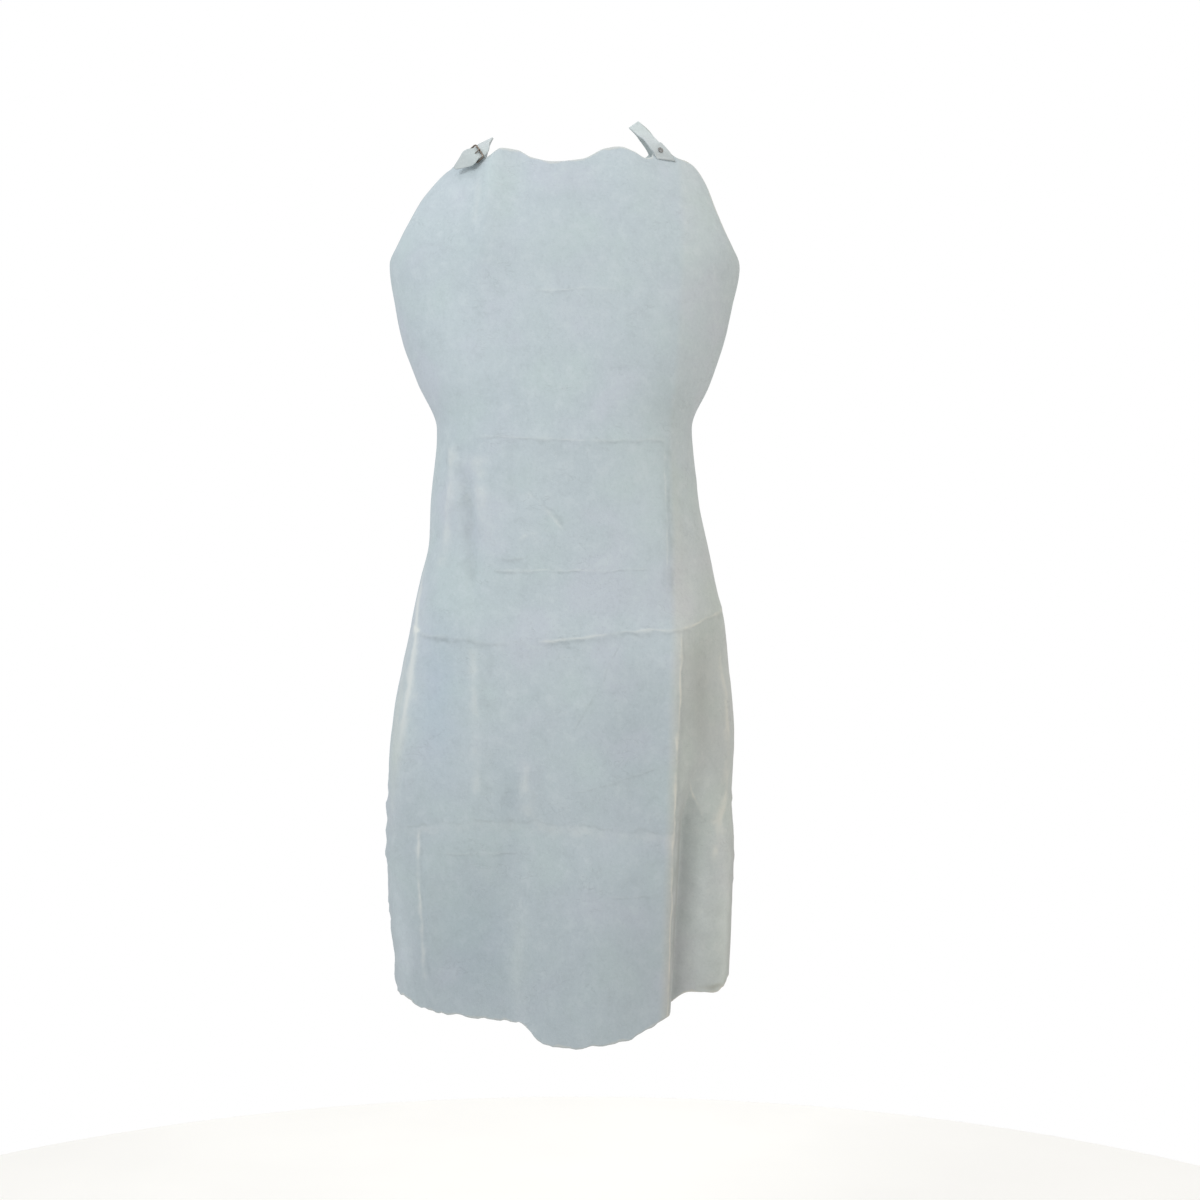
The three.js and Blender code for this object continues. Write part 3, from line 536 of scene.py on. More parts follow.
def build_neck_strap(material):
    pts = strap_points()
    at = [p[0] for p in pts]
    st = []
    for i in range(len(pts) - 1):
        long = np.linalg.norm(at[i + 1] - at[i])
        steps = max(1, int(round(long / 2.2)))
        last = i == len(pts) - 2
        for k in range(steps + (1 if last else 0)):
            f = k / steps
            p, d = catmull(at, i, f)
            face = unit(pts[i][1] * (1 - f) + pts[i + 1][1] * f)
            st.append([p, face, d, pts[i][2] * (1 - f) + pts[i + 1][2] * f, pts[i][3] * (1 - f) + pts[i + 1][3] * f])
    return build_strip("neck_strap_hide", st, STRAP_W, STRAP_T, material, 71, lay=rivet_ground())


def sweep(name, centres, frames, radius, sides, loop, material, taper=None):
    rings = []
    for i, (c, (e1, e2)) in enumerate(zip(centres, frames)):
        r = radius if taper is None else radius * taper[i]
        for k in range(sides):
            a = 2 * math.pi * (k + 0.5) / sides
            rings.append(c + e1 * r * math.cos(a) + e2 * r * math.sin(a))
    ob = new_piece(name, np.array(rings) * MM, skin_faces(len(centres), sides, loop), material)
    recalc(ob)
    return ob


def build_frame(material):
    corner, turn = 2.4, 8
    tilt = math.atan2(FRONT_H - HEEL_H, FRAME_DEPTH)
    long = math.hypot(FRAME_DEPTH, FRONT_H - HEEL_H)
    up = heel_face * math.cos(tilt) - heel_run * math.sin(tilt)
    path = []
    for cs, cw, q in ((long - corner, FRAME_HALF_W - corner, 0), (corner, FRAME_HALF_W - corner, 1),
                      (corner, -FRAME_HALF_W + corner, 2), (long - corner, -FRAME_HALF_W + corner, 3)):
        for k in range(turn + 1):
            a = (q + k / turn) * math.pi / 2
            path.append((cs + corner * math.cos(a), cw + corner * math.sin(a), a))
    cen, fr = [], []
    for s, w, a in path:
        cen.append(at_heel(s * math.cos(tilt), HEEL_H + s * math.sin(tilt), w))
        fr.append((at_heel(math.cos(tilt) * math.cos(a), math.sin(tilt) * math.cos(a), math.sin(a)) - heel_at, up))
    return sweep("neck_buckle_wire", cen, fr, WIRE_R, 16, True, material)


def build_prong(material):
    curl = WIRE_R + 0.25 + PRONG_R
    pts = [at_heel(curl * math.cos(math.radians(d)), HEEL_H + curl * math.sin(math.radians(d))) for d in (-150, -180, -215, -245)]
    pts += [at_heel(s, h) for s, h in ((0.6, HEEL_H + curl + 0.05), (3, 6.1), (6, 7.3), (9, 8.3), (FRAME_DEPTH, 8.5), (FRAME_DEPTH + 1.8, 8.3))]
    cen, fr, tap = [], [], []
    for i in range(len(pts) - 1):
        for k in range(6 if i < len(pts) - 2 else 7):
            p, d = catmull(pts, i, k / 6)
            d = unit(d)
            cen.append(p)
            fr.append((heel_side, unit(np.cross(d, heel_side))))
    n = len(cen)
    tap = [1.0 if i < n - 6 else 1.0 - 0.4 * ((i - (n - 6)) / 5) ** 2 for i in range(n)]
    return sweep("buckle_prong_wire", cen, fr, PRONG_R, 14, False, material, tap)


def build_tab(material):
    low = HIDE / 2 + GAP + 0.2 + TAB_T / 2
    high = low + TAB_T + GAP
    path = [(-9.5, low), (-6, low), (-3, low)]
    path += [(FOLD_R * math.cos(-math.pi / 2 + math.pi * k / 8), HEEL_H + FOLD_R * math.sin(-math.pi / 2 + math.pi * k / 8)) for k in range(9)]
    path += [(-2.6, HEEL_H + 1.2), (-5.2, high + 0.25), (-7, high), (-9, high)]
    slot_half, slot_w = 3.6, PRONG_R + 0.5
    halves = []
    at = [at_heel(s, h) for s, h in path]
    verts, faces = [], []
    fine = []
    for i in range(len(at) - 1):
        n = max(1, int(round(np.linalg.norm(at[i + 1] - at[i]) / 0.7)))
        for k in range(n + (1 if i == len(at) - 2 else 0)):
            p, d = catmull(at, i, k / n)
            fine.append((p, unit(d)))
    # cells across the tab: the middle is open where the prong turns round the bar
    ws = [-TAB_W / 2, -TAB_W / 2 + 0.25, -5, -slot_w, slot_w, 5, TAB_W / 2 - 0.25, TAB_W / 2]
    nw = len(ws)
    for (p, d) in fine:
        n = unit(np.cross(d, heel_side))
        for side in (0.5, -0.5):
            for j, w in enumerate(ws):
                pinch = 0.86 if j in (0, nw - 1) else 1.0
                verts.append(p + heel_side * w + n * TAB_T * side * pinch)
    idx = lambda i, s, j: i * 2 * nw + s * nw + j
    open_at = []
    for (p, d) in fine:
        s = float((p - heel_at) @ heel_run)
        h = float((p - heel_at) @ heel_face)
        open_at.append(abs(s + 0.2) < slot_half and h > HEEL_H + 0.8 - 4.0)
    solid = lambda i, j: 0 <= i < len(fine) - 1 and 0 <= j < nw - 1 and not (j == 3 and open_at[i] and open_at[i + 1])
    for i in range(len(fine) - 1):
        for j in range(nw - 1):
            if not solid(i, j):
                continue
            faces.append((idx(i, 0, j), idx(i + 1, 0, j), idx(i + 1, 0, j + 1), idx(i, 0, j + 1)))
            faces.append((idx(i, 1, j), idx(i, 1, j + 1), idx(i + 1, 1, j + 1), idx(i + 1, 1, j)))
            if not solid(i, j - 1):
                faces.append((idx(i, 0, j), idx(i, 1, j), idx(i + 1, 1, j), idx(i + 1, 0, j)))
            if not solid(i, j + 1):
                faces.append((idx(i, 0, j + 1), idx(i + 1, 0, j + 1), idx(i + 1, 1, j + 1), idx(i, 1, j + 1)))
            if not solid(i - 1, j):
                faces.append((idx(i, 0, j), idx(i, 0, j + 1), idx(i, 1, j + 1), idx(i, 1, j)))
            if not solid(i + 1, j):
                faces.append((idx(i + 1, 0, j), idx(i + 1, 1, j), idx(i + 1, 1, j + 1), idx(i + 1, 0, j + 1)))
    ob = new_piece("buckle_tab_hide", np.array(verts) * MM, faces, material)
    recalc(ob)
    return ob


def build_rivet(material):
    top, under = STRAP_H + STRAP_T / 2 + GAP, -HIDE / 2 - 2 * GAP
    prof = [
        (RIVET_BORE_R, under - 0.45), (RIVET_BORE_R + 0.25, under - 0.68), (RIVET_SHANK_R + 0.5, under - 0.74),
        (RIVET_SHANK_R + 1.0, under - 0.55), (RIVET_SHANK_R + 1.2, under - 0.2), (RIVET_SHANK_R + 1.1, under),
        (RIVET_SHANK_R, under), (RIVET_SHANK_R, top), (RIVET_HEAD_R - 0.15, top), (RIVET_HEAD_R, top + 0.18),
        (RIVET_HEAD_R - 0.18, top + 0.46), (RIVET_HEAD_R - 0.6, top + 0.68), (RIVET_HEAD_R - 1.1, top + 0.78),
        (RIVET_BORE_R + 0.75, top + 0.72), (RIVET_BORE_R + 0.25, top + 0.5), (RIVET_BORE_R, top + 0.1),
    ]
    n = 40
    rings = []
    for k in range(n):
        a = 2 * math.pi * k / n
        e = rivet_run * math.cos(a) + rivet_side * math.sin(a)
        for r, h in prof:
            rings.append(rivet_at + e * r + rivet_face * h)
    ob = new_piece("neck_rivet_ring", np.array(rings) * MM, skin_faces(n, len(prof), True), material)
    recalc(ob)
    return ob


def waist_path():
    sx, sy, ss, _ = section_curve(WAIST_DROP)
    off = HIDE / 2 + GAP + STRAP_T / 2 + 0.4
    pos = lambda d: np.array([np.interp(d, ss, sx), np.interp(d, ss, sy) + MID_Y, -WAIST_DROP])
    sides = []
    for sign in (-1, 1):
        end = -ss[0] if sign < 0 else ss[-1]
        part = []
        for k in range(45):
            d = WAIST_LAP_FROM + (end - 6 - WAIST_LAP_FROM) * k / 44
            run = unit(pos(sign * (d + 2)) - pos(sign * (d - 2)))
            face = unit(np.cross(run, np.array([0, 0, -sign])))
            part.append((pos(sign * d) + face * off, face))
        sides.append(part)
    left, right = sides[0], sides[1][::-1]
    gap = []
    for k in range(1, 6):
        f = k / 6
        gap.append((left[-1][0] * (1 - f) + right[0][0] * f, unit(left[-1][1] * (1 - f) + right[0][1] * f)))
    return left + gap + right


def build_waist_strap(material):
    path = waist_path()
    st = []
    for i, (p, face) in enumerate(path):
        run = path[min(len(path) - 1, i + 1)][0] - path[max(0, i - 1)][0]
        st.append((p, face, run, 1.0, 0.0))
    return build_strip("waist_strap_hide", st, STRAP_W, STRAP_T, material, 91), st


def build_stitches(name, rows, radius, material):
    """Thread lying on a face: each stitch is a little capsule bowed into the hide at both ends."""
    verts, faces = [], []
    sides, steps = 6, 6
    for (a, b, face) in rows:
        d = b - a
        long = np.linalg.norm(d)
        run = d / long
        w = unit(np.cross(run, face))
        base = len(verts)
        for k in range(steps + 1):
            f = k / steps
            c = a + d * f + face * (radius * 1.5 * math.sin(math.pi * f) - radius * 0.55)
            r = radius * (0.45 + 0.55 * math.sin(math.pi * (0.1 + 0.8 * f)))
            for j in range(sides):
                ang = 2 * math.pi * j / sides
                verts.append(c + w * r * math.cos(ang) + face * r * math.sin(ang))
        for i in range(steps):
            for j in range(sides):
                k = (j + 1) % sides
                faces.append((base + i * sides + j, base + (i + 1) * sides + j, base + (i + 1) * sides + k, base + i * sides + k))
        faces.append(tuple(base + j for j in range(sides))[::-1])
        faces.append(tuple(base + steps * sides + j for j in range(sides)))
    ob = new_piece(name, np.array(verts) * MM, faces, material)
    recalc(ob)
    return ob


# ---- materials ---------------------------------------------------------------------------------

class Nodes:
    def __init__(self, name):
        self.m = bpy.data.materials.new(name)
        self.m.use_nodes = True
        self.t = self.m.node_tree
        self.t.nodes.clear()
        self.out = self.t.nodes.new("ShaderNodeOutputMaterial")
        self.bsdf = self.t.nodes.new("ShaderNodeBsdfPrincipled")
        self.t.links.new(self.bsdf.outputs[0], self.out.inputs[0])

    def add(self, kind, **props):
        n = self.t.nodes.new(kind)
        for k, v in props.items():
            setattr(n, k, v)
        return n

    def link(self, a, b):
        self.t.links.new(a, b)

    def noise(self, coord, scale, detail=3.0, rough=0.55, distort=0.0):
        n = self.add("ShaderNodeTexNoise")
        n.inputs["Scale"].default_value = scale
        n.inputs["Detail"].default_value = detail
        n.inputs["Roughness"].default_value = rough
        n.inputs["Distortion"].default_value = distort
        self.link(coord, n.inputs["Vector"])
        return n.outputs["Fac"]

    def math(self, op, a, b=None, c=None, clamp=False):
        n = self.add("ShaderNodeMath", operation=op, use_clamp=clamp)
        for i, v in enumerate((a, b, c)):
            if v is None:
                continue
            if isinstance(v, (int, float)):
                n.inputs[i].default_value = v
            else:
                self.link(v, n.inputs[i])
        return n.outputs[0]

    def span(self, v, a, b, c=0.0, d=1.0):
        n = self.add("ShaderNodeMapRange", interpolation_type="SMOOTHSTEP")
        for i, x in enumerate((v, a, b, c, d)):
            if isinstance(x, (int, float)):
                n.inputs[i].default_value = x
            else:
                self.link(x, n.inputs[i])
        return n.outputs[0]

    def mix(self, fac, a, b, blend="MIX"):
        n = self.add("ShaderNodeMix", data_type="RGBA", blend_type=blend)
        for i, v in ((0, fac), (6, a), (7, b)):
            if isinstance(v, (int, float)):
                n.inputs[i].default_value = v
            elif isinstance(v, tuple):
                n.inputs[i].default_value = (*v, 1.0)
            else:
                self.link(v, n.inputs[i])
        return n.outputs[2]

    def attr(self, name, which="Fac"):
        n = self.add("ShaderNodeAttribute", attribute_name=name)
        return n.outputs[which]

    def set(self, **values):
        for k, v in values.items():
            self.bsdf.inputs[k.replace("_", " ")].default_value = v


# Fold lines on the flat hide, in mm: each crest is painted lighter, partly rubbed wear and partly painted highlight,
# and beside it or in a hollow the hide is painted darker, mostly painted shade and partly soil. Columns: which way the
# line runs, its points (across, drop), how light the crest is, how dark the painted shade beside it, the crest's half
# width, the shade's offset and half width, how far the crest stands out, and how broken the line is.
PLEAT = [(flat_at(d, 125 - 19 * (d - 548) / 450.0), d) for d in (536, 600, 660, 720, 780, 840, 900, 960)]
LINES = [
    ("hip_left", "across", [(-176, 541), (-133, 544), (-92, 548)], 0.20, 0.85, 2.2, 2.8, 3.2, 0.4, 0.1),
    ("hip_left_end", "across", [(-104, 548), (-70, 550), (-36, 550)], 0.10, 0.40, 2.2, 2.8, 3.4, 0.2, 0.3),
    ("hip_corner", "across", [(-196, 534), (-184, 537), (-168, 538)], 0.85, 0.0, 3.0, 0.0, 1.0, 0.3, 0.05),
    ("hip_right", "across", [(-30, 550), (-3, 548), (40, 542), (83, 538), (131, 536), (165, 524), (228, 512)], 0.62, 0.50, 1.6, 3.0, 2.6, 0.7, 0.2),
    ("upper", "across", [(-107, 326), (-98, 326), (-47, 328), (-3, 330), (40, 332), (85, 330), (122, 328)], 0.25, 0.42, 1.6, 2.4, 2.2, 0.4, 0.5),
    ("faint", "across", [(-84, 472), (-25, 472), (29, 472), (98, 470)], 0.30, 0.50, 1.2, 2.2, 1.6, 0.3, 0.5),
    ("waist_right", "down", [(117, 326), (116, 416), (114, 506)], 0.40, 0.45, 1.4, 5.0, 4.5, 0.4, 0.4),
    ("left_light", "down", [(-97, 552), (-97, 613), (-95, 677), (-94, 720)], 0.40, 0.25, 5.6, 13.0, 7.0, 0.1, 0.2),
    ("pleat_ridge", "down", PLEAT, 0.80, 0.30, 1.5, 4.0, 3.0, 0.6, 0.15),
    ("branch", "down", [(142, 698), (173, 724), (193, 748)], 0.60, 0.30, 1.8, -4.0, 3.0, 0.4, 0.2),
    # side_left: painted highlight, the left side lighter where it turns towards the key light
    ("side_left", "down", [(-194, 446), (-190, 490), (-184, 530), (-181, 553), (-181, 593), (-185, 625), (-190, 660), (-197, 690)], 0.62, 0.0, 8.0, 13.0, 2.0, 0.1, 0.0),
    ("low_left", "down", [(-164, 752), (-164, 790), (-165, 833), (-164, 889), (-163, 925)], 0.85, 0.30, 3.0, 6.0, 4.0, 0.4, 0.3),
    # valley_low: painted shade in a hollow
    ("valley_low", "down", [(-60, 684), (-57, 720), (-56, 768)], 0.0, 0.22, 5.0, 0.0, 11.0, -0.4, 0.2),
    ("pleat_shade", "down", [(137, 690), (137, 765), (134, 830), (131, 900), (128, 950)], 0.0, 0.50, 5.0, 0.0, 9.0, 0.0, 0.0),
    # ridge_low, waist_ridge and waist_ridge_b: painted highlights on ridges
    ("ridge_low", "down", [(-40, 672), (-41, 710), (-43, 746)], 0.40, 0.0, 6.0, 0.0, 1.0, 0.5, 0.2),
    ("waist_ridge", "down", [(-135, 324), (-134, 385), (-139, 432), (-150, 474)], 0.50, 0.0, 8.5, 8.0, 5.0, 0.4, 0.2),
    ("waist_ridge_b", "down", [(-97, 340), (-91, 400), (-84, 450)], 0.38, 0.0, 11.0, 8.0, 5.0, 0.2, 0.3),
    # waist_valley, waist_valley_b and dent_a: painted shade in hollows and a dent
    ("waist_valley", "down", [(-120, 352), (-111, 395), (-105, 461), (-101, 490)], 0.0, 0.48, 4.0, 0.0, 10.0, -0.3, 0.1),
    ("waist_valley_b", "down", [(-60, 328), (-56, 384), (-50, 410)], 0.0, 0.25, 4.0, 0.0, 7.0, -0.2, 0.3),
    ("dent_a", "down", [(-125, 332), (-123, 364)], 0.0, 0.66, 4.0, 0.0, 7.0, -0.6, 0.05),
    ("waist_fold_a", "down", [(-46, 382), (-28, 396), (-12, 414), (2, 434)], 0.45, 0.36, 1.8, 3.4, 2.6, 0.5, 0.4),
    ("waist_fold_b", "across", [(-52, 440), (-38, 434), (-26, 431)], 0.40, 0.25, 1.8, 3.4, 2.6, 0.3, 0.4),
    ("waist_mark", "across", [(-76, 457), (-55, 460), (-36, 457)], 0.10, 0.70, 1.5, 1.5, 1.8, 0.3, 0.4),
    # right_rim: painted highlight along the right edge
    ("right_rim", "down", [(202, 556), (211, 640), (213, 720), (205, 796)], 0.60, 0.0, 6.0, 0.0, 1.0, 0.3, 0.2),
    ("diagonal_b", "down", [(61, 550), (36, 600), (8, 652)], 0.10, 0.50, 1.2, 1.6, 1.2, 0.3, 0.6),
    ("diagonal_c", "across", [(5, 714), (70, 696), (131, 672)], 0.10, 0.50, 1.2, 1.6, 1.2, 0.3, 0.6),
    ("band_low", "across", [(-195, 758), (-125, 752), (-58, 748), (-3, 752), (62, 758), (126, 762)], 0.25, 0.40, 6.0, -6.0, 2.0, 0.5, 0.4),
    ("chest", "across", [(-38, 168), (13, 166), (64, 166)], 0.25, 0.30, 1.2, 2.4, 1.6, 0.3, 0.5),
    ("neck", "down", [(-94, 26), (-97, 62), (-99, 98)], 0.28, 0.0, 6.0, -7.0, 5.0, 0.2, 0.2),
    ("low_right", "across", [(45, 826), (80, 823), (120, 822)], 0.10, 0.35, 1.2, 1.6, 1.4, 0.3, 0.5),
    ("low_mid", "across", [(-143, 780), (-95, 779), (-44, 778)], 0.15, 0.30, 1.2, 1.8, 1.5, 0.3, 0.5),
]


# Broad patches where the hide is painted a little lighter or darker, and warmer (or cooler, below 0), partly uneven dye
# and partly painted light and shade, on the flat in mm: across, drop, half width, half height, share, warmth.
PATCHES = [
    (-104, 872, 40, 74, -0.055, -0.25),
    (-52, 890, 13, 66, 0.08, 0.30),
    (-204, 878, 20, 70, 0.13, 0.10),
    # lighter and warmer: painted highlight on the left side strip where it faces the key light
    (-207, 650, 18, 90, 0.05, 0.60),
    (76, 640, 44, 92, -0.075, 0.0),
    (88, 866, 40, 112, -0.055, 0.0),
    (-140, 610, 26, 76, -0.045, -0.45),
    (2, 30, 74, 40, -0.05, 0.0),
    (0, 112, 74, 70, -0.045, 0.0),
    (-130, 214, 44, 60, 0.03, 0.0),
    (-59, 722, 16, 50, -0.035, -0.1),
    (24, 786, 96, 20, 0.025, 0.0),
    (132, 420, 10, 80, -0.04, 0.2),
    # painted shade on the right side hollow below the hip crease
    (168, 604, 34, 76, -0.20, 0.15),
    # painted light in the hollow beside the pleat
    (182, 850, 13, 120, 0.22, 0.0),
    # painted highlight along the lower right edge
    (224, 856, 13, 110, 0.18, 0.0),
    (214, 931, 14, 3, -0.20, 0.60),
]


def dye_and_painted_light(k, flat, across, drop):
    """How much lighter or darker, and warmer, the hide is painted at its flat place: broad patches, partly uneven dye
    and partly painted light and shade, a painted warm cast on the shaded side past the pleat, and painted shade
    darkening the foot.
    """
    # darker towards the foot: painted shade of the light falling off downward
    total = k.span(drop, 540.0, 985.0, 1.0, 0.84)
    shift = k.math("MULTIPLY", k.math("SUBTRACT", k.noise(flat, 18.0, 2.0, 0.5), 0.5), 30.0)
    # warmer right of the pleat from the waist down: a painted warm cast of the shaded right panel
    (pa, pd), (qa, qd) = PLEAT[0], PLEAT[-1]
    lean = (qa - pa) / (qd - pd)
    past = k.math("SUBTRACT", across, k.math("MULTIPLY_ADD", drop, lean, pa - lean * pd))
    warm = k.math("MULTIPLY", k.span(past, -14.0, -2.0), k.span(drop, 300.0, 575.0, 0.30, 0.92))
    a, d = k.math("ADD", across, shift), k.math("ADD", drop, shift)
    for (pa, pd, ra, rd, share, heat) in PATCHES:
        x = k.math("MULTIPLY_ADD", a, 1.0 / ra, -pa / ra)
        y = k.math("MULTIPLY_ADD", d, 1.0 / rd, -pd / rd)
        e = k.math("EXPONENT", k.math("MULTIPLY", k.math("MULTIPLY_ADD", x, x, k.math("MULTIPLY", y, y)), -1.0))
        total = k.math("MULTIPLY_ADD", e, share, total)
        if heat:
            warm = k.math("MULTIPLY_ADD", e, heat, warm)
    return total, warm


def hairlines(k, flat):
    """Thin short wrinkles, running mostly across."""
    m = k.add("ShaderNodeMapping")
    m.inputs["Scale"].default_value = (1.0, 2.1, 1.0)
    k.link(flat, m.inputs["Vector"])
    n = k.noise(m.outputs[0], 26.0, 3.0, 0.6, 0.8)
    thin = k.span(k.math("ABSOLUTE", k.math("SUBTRACT", n, 0.5)), 0.0, 0.016, 1.0, 0.0)
    where = k.span(k.noise(flat, 17.0, 2.0, 0.55), 0.50, 0.64)
    return k.math("MULTIPLY", thin, where)


def fold_lines(k, flat, across, drop):
    """Sums of all lines over the flat hide: painted highlight (partly rubbed wear), painted shade (partly soil) and
    height.
    """
    wander = k.math("MULTIPLY", k.math("SUBTRACT", k.noise(flat, 34.0, 2.0, 0.5), 0.5), 7.0)
    breaks = k.noise(flat, 55.0, 2.0, 0.6)
    swell = k.span(k.noise(flat, 47.0, 2.0, 0.5), 0.30, 0.70, 0.65, 1.6)
    weak_a = k.span(k.noise(flat, 29.0, 3.0, 0.6), 0.38, 0.62, 0.15, 0.75)
    weak_b = k.span(k.noise(flat, 37.0, 3.0, 0.6), 0.38, 0.62, 0.15, 0.75)
    sums = [None, None, None, None, None]

    def pile(i, v):
        sums[i] = v if sums[i] is None else k.math("ADD", sums[i], v)

    for (_, way, pts, light, dark, half, off, off_half, lift, broken) in LINES:
        j = 0 if way == "across" else 1
        pts = sorted([(p[j], p[1 - j]) for p in pts])
        a0, a1 = pts[0][0], pts[-1][0]
        c0, c1 = min(p[1] for p in pts) - 5.0, max(p[1] for p in pts) + 5.0
        a, c = (across, drop) if way == "across" else (drop, across)
        share = k.math("DIVIDE", k.math("SUBTRACT", a, a0), a1 - a0)
        fc = k.add("ShaderNodeFloatCurve")
        cv = fc.mapping.curves[0]
        norm = [((x - a0) / (a1 - a0), (y - c0) / (c1 - c0)) for x, y in pts]
        cv.points[0].location, cv.points[1].location = norm[0], norm[-1]
        for x, y in norm[1:-1]:
            cv.points.new(x, y)
        fc.mapping.update()
        k.link(share, fc.inputs["Value"])
        line = k.math("MULTIPLY_ADD", fc.outputs[0], c1 - c0, c0)
        u = k.math("MULTIPLY", k.math("ADD", k.math("SUBTRACT", c, line), wander), swell)
        fade = min(0.3, 14.0 / (a1 - a0)) if broken else 0.3
        gate = k.math("MULTIPLY", k.span(share, 0.0, fade), k.span(share, 1.0 - fade, 1.0, 1.0, 0.0))
        gate = k.math("MULTIPLY", gate, k.span(breaks, 0.40, 0.56, 1.0 - broken, 1.0))

        def bell(shift, width):
            d = k.math("SUBTRACT", u, shift) if shift else u
            return k.math("MULTIPLY", gate, k.math("EXPONENT", k.math("MULTIPLY", k.math("MULTIPLY", d, d), -1.0 / width ** 2)))

        crest = bell(0.0, half)
        if light:
            pile(0 if broken else 3, k.math("MULTIPLY", crest, light))
        if dark:
            pile(1 if broken else 4, k.math("MULTIPLY", bell(off, off_half), dark))
        pile(2, k.math("MULTIPLY", crest, lift))
    return k.math("MULTIPLY_ADD", sums[0], weak_a, sums[3]), k.math("MULTIPLY_ADD", sums[1], weak_b, sums[4]), sums[2]


def suede(name, base, dark, light, green, lilac, body=False):
    k = Nodes(name)
    co = k.add("ShaderNodeTexCoord").outputs["Object"]
    cloud = k.noise(co, 8.0, 2.0, 0.5)                    # hand-sized clouds
    tint = k.noise(co, 14.0, 2.0, 0.5)                    # patches of warmer and cooler dye
    blotch = k.noise(co, 70.0, 3.0, 0.6)                  # thumb-sized mottling
    nap = k.noise(co, 300.0, 3.0, 0.65)                   # nap, a few millimetres
    fibre = k.noise(co, 1100.0, 3.0, 0.7)                 # single fibres
    deep = tuple(0.80 * v for v in dark)
    col = k.mix(k.span(cloud, 0.32, 0.68), dark, base)
    col = k.mix(k.span(tint, 0.47, 0.72, 0.0, 0.8), col, green)
    col = k.mix(k.span(tint, 0.28, 0.50, 0.8, 0.0), col, lilac)
    col = k.mix(k.span(blotch, 0.50, 0.72, 0.0, 0.50), col, light)
    col = k.mix(k.span(blotch, 0.28, 0.48, 0.22, 0.0), col, deep)
    col = k.mix(k.span(nap, 0.50, 0.72, 0.0, 0.46), col, light)
    col = k.mix(k.span(nap, 0.28, 0.48, 0.25, 0.0), col, deep)
    col = k.mix(k.span(fibre, 0.50, 0.72, 0.0, 0.32), col, light)
    col = k.mix(k.span(fibre, 0.28, 0.46, 0.21, 0.0), col, deep)
    h = k.math("ADD", k.math("MULTIPLY", nap, 0.55), k.math("MULTIPLY", fibre, 0.35))
    h = k.math("ADD", h, k.math("MULTIPLY", blotch, 0.5))
    if body:
        flat = k.attr("flat", "Vector")
        sep = k.add("ShaderNodeSeparateXYZ")
        k.link(flat, sep.inputs[0])
        across, drop = k.math("MULTIPLY", sep.outputs[0], 1000.0), k.math("MULTIPLY", sep.outputs[1], 1000.0)
        s_rub_and_painted_highlight, s_soil_and_painted_shade, s_lift = fold_lines(k, flat, across, drop)
        hair = hairlines(k, flat)
        h = k.math("MULTIPLY_ADD", hair, -0.25, h)
        # darker along the fine wrinkles: painted shade in them
        col = k.mix(k.math("MULTIPLY", hair, 0.22), col, tuple(0.62 * v for v in base))
        # painted shade along the fold lines and in hollows, partly soil in the creases
        col = k.mix(k.math("MINIMUM", s_soil_and_painted_shade, 0.9), col, tuple(0.62 * v for v in base))
        # painted highlight on the fold crests, partly rubbed wear
        col = k.mix(k.math("MINIMUM", s_rub_and_painted_highlight, 0.9), col, (0.69, 0.72, 0.71))
        h = k.math("MULTIPLY_ADD", s_lift, 0.5, h)
        edge = k.attr("edge_mm")
        rough_edge = k.math("ADD", edge, k.math("MULTIPLY", k.math("SUBTRACT", blotch, 0.5), 8.0))
        col = k.mix(k.span(rough_edge, 0.2, 2.6, 0.5, 0.0), col, (0.60, 0.61, 0.58))
        tone = k.add("ShaderNodeVectorMath", operation="SCALE")
        k.link(col, tone.inputs[0])
        share, warm = dye_and_painted_light(k, flat, across, drop)
        k.link(share, tone.inputs["Scale"])
        heat = k.add("ShaderNodeVectorMath", operation="SCALE")
        heat.inputs[0].default_value = (0.085, 0.012, -0.075)
        k.link(warm, heat.inputs["Scale"])
        cast = k.add("ShaderNodeVectorMath", operation="ADD")
        k.link(heat.outputs[0], cast.inputs[0])
        cast.inputs[1].default_value = (1.0, 1.0, 1.0)
        tinted = k.add("ShaderNodeVectorMath", operation="MULTIPLY")
        k.link(tone.outputs[0], tinted.inputs[0])
        k.link(cast.outputs[0], tinted.inputs[1])
        col = tinted.outputs[0]
    k.link(col, k.bsdf.inputs["Base Color"])
    k.set(Roughness=0.92, Metallic=0.0)
    k.bsdf.inputs["Specular IOR Level"].default_value = 0.15
    k.bsdf.inputs["Sheen Weight"].default_value = 0.10
    k.bsdf.inputs["Sheen Roughness"].default_value = 0.6
    b = k.add("ShaderNodeBump")
    b.inputs["Strength"].default_value = 0.5
    b.inputs["Distance"].default_value = 0.0009
    k.link(h, b.inputs["Height"])
    k.link(b.outputs[0], k.bsdf.inputs["Normal"])
    return k.m


def metal(name, base, worn, rough_lo, rough_hi):
    k = Nodes(name)
    co = k.add("ShaderNodeTexCoord").outputs["Object"]
    patch = k.noise(co, 420.0, 3.0, 0.6)
    scuff = k.noise(co, 2200.0, 2.0, 0.6)
    col = k.mix(k.span(patch, 0.45, 0.72, 0.0, 0.8), base, worn)
    k.link(col, k.bsdf.inputs["Base Color"])
    k.link(k.span(scuff, 0.3, 0.7, rough_lo, rough_hi), k.bsdf.inputs["Roughness"])
    k.set(Metallic=1.0)
    b = k.add("ShaderNodeBump")
    b.inputs["Strength"].default_value = 0.25
    b.inputs["Distance"].default_value = 0.0002
    k.link(scuff, b.inputs["Height"])
    k.link(b.outputs[0], k.bsdf.inputs["Normal"])
    return k.m


